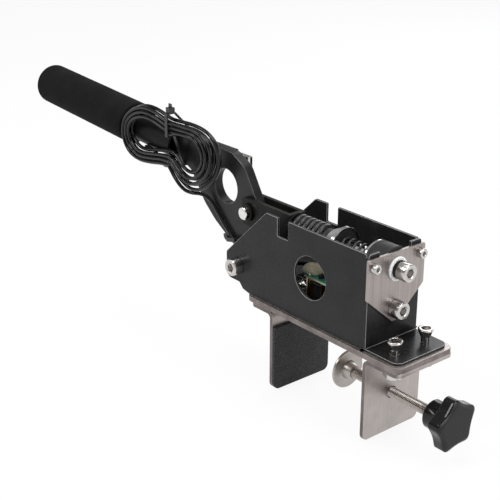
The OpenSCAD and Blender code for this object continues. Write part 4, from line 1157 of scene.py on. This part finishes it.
def floor_material():
    """Pale paper floor that the camera and mirrors see as nearly white, with soft shadows."""
    white_share = 0.9
    mat = bpy.data.materials.new("floor")
    mat.use_nodes = True
    tree = mat.node_tree
    tree.nodes.clear()
    grain = add_node(tree, "ShaderNodeTexNoise", {"Scale": 60})
    tint = add_node(
        tree, "ShaderNodeMapRange", {"Value": grain.outputs["Fac"], "To Min": 0.83, "To Max": 0.87}
    )
    diffuse = add_node(tree, "ShaderNodeBsdfDiffuse", {"Color": tint.outputs["Result"]})
    white = add_node(tree, "ShaderNodeEmission", {"Color": (1, 1, 1, 1), "Strength": 1.0})
    rays = add_node(tree, "ShaderNodeLightPath").outputs
    mirrored = add_node(
        tree, "ShaderNodeMath", {0: rays["Is Glossy Ray"], 1: rays["Is Transmission Ray"]},
        operation="MAXIMUM",
    )
    seen = add_node(
        tree, "ShaderNodeMath", {0: rays["Is Camera Ray"], 1: mirrored.outputs[0]},
        operation="MAXIMUM",
    )
    share = add_node(
        tree, "ShaderNodeMath", {0: seen.outputs[0], 1: white_share}, operation="MULTIPLY"
    )
    mixer = add_node(
        tree, "ShaderNodeMixShader", {0: share.outputs[0], 1: diffuse.outputs[0], 2: white.outputs[0]}
    )
    add_node(tree, "ShaderNodeOutputMaterial", {"Surface": mixer.outputs[0]})
    return mat


floor = bowl_floor()
floor.data.materials.append(floor_material())


def area_light(name, place, target, size, power, colour=(1, 1, 1), size_y=None):
    """Rectangular lamp at a place, turned to its target."""
    data = bpy.data.lights.new(name, "AREA")
    data.shape = "RECTANGLE"
    data.size = size
    data.size_y = size_y or size
    data.energy = power
    data.color = colour
    light = bpy.data.objects.new(name, data)
    light.location = place
    light.rotation_euler = (Vector(target) - Vector(place)).to_track_quat("-Z", "Y").to_euler()
    bpy.context.scene.collection.objects.link(light)


def studio_world():
    """Grey surroundings that are darker below and lighter overhead."""
    made = bpy.data.worlds.new("studio")
    made.use_nodes = True
    tree = made.node_tree
    tree.nodes.clear()
    coords = add_node(tree, "ShaderNodeTexCoord")
    split = add_node(tree, "ShaderNodeSeparateXYZ", {0: coords.outputs["Generated"]})
    height = add_node(
        tree, "ShaderNodeMapRange", {"Value": split.outputs["Z"], "From Min": -1, "From Max": 1}
    )
    ramp = add_node(tree, "ShaderNodeValToRGB", {0: height.outputs["Result"]})
    low, high = ramp.color_ramp.elements
    low.position = 0.55
    low.color = (0.1, 0.1, 0.1, 1)
    high.position = 0.95
    high.color = (0.95, 0.95, 0.96, 1)
    background = add_node(
        tree, "ShaderNodeBackground", {"Color": ramp.outputs[0], "Strength": 0.5}
    )
    add_node(tree, "ShaderNodeOutputWorld", {"Surface": background.outputs[0]})
    return made


MIDDLE = (-0.1, 0, 0.03)
area_light("key", (-0.35, -1.0, 1.25), MIDDLE, 0.6, 11, (1, 0.99, 0.97))
area_light("right", (1.3, 0.3, 0.7), MIDDLE, 0.7, 11, (1, 1, 1), 1.0)
area_light("top", (0, 0.2, 1.6), MIDDLE, 1.2, 12)
area_light("back", (-0.6, 1.3, 0.8), MIDDLE, 1.0, 8, (0.97, 0.98, 1))
area_light("glint", (-0.75, -0.6, 0.6), (0.1, 0, -0.03), 0.1, 1.1, (1, 1, 1), 0.5)

bpy.context.scene.world = studio_world()
bpy.context.scene.view_settings.view_transform = "Standard"
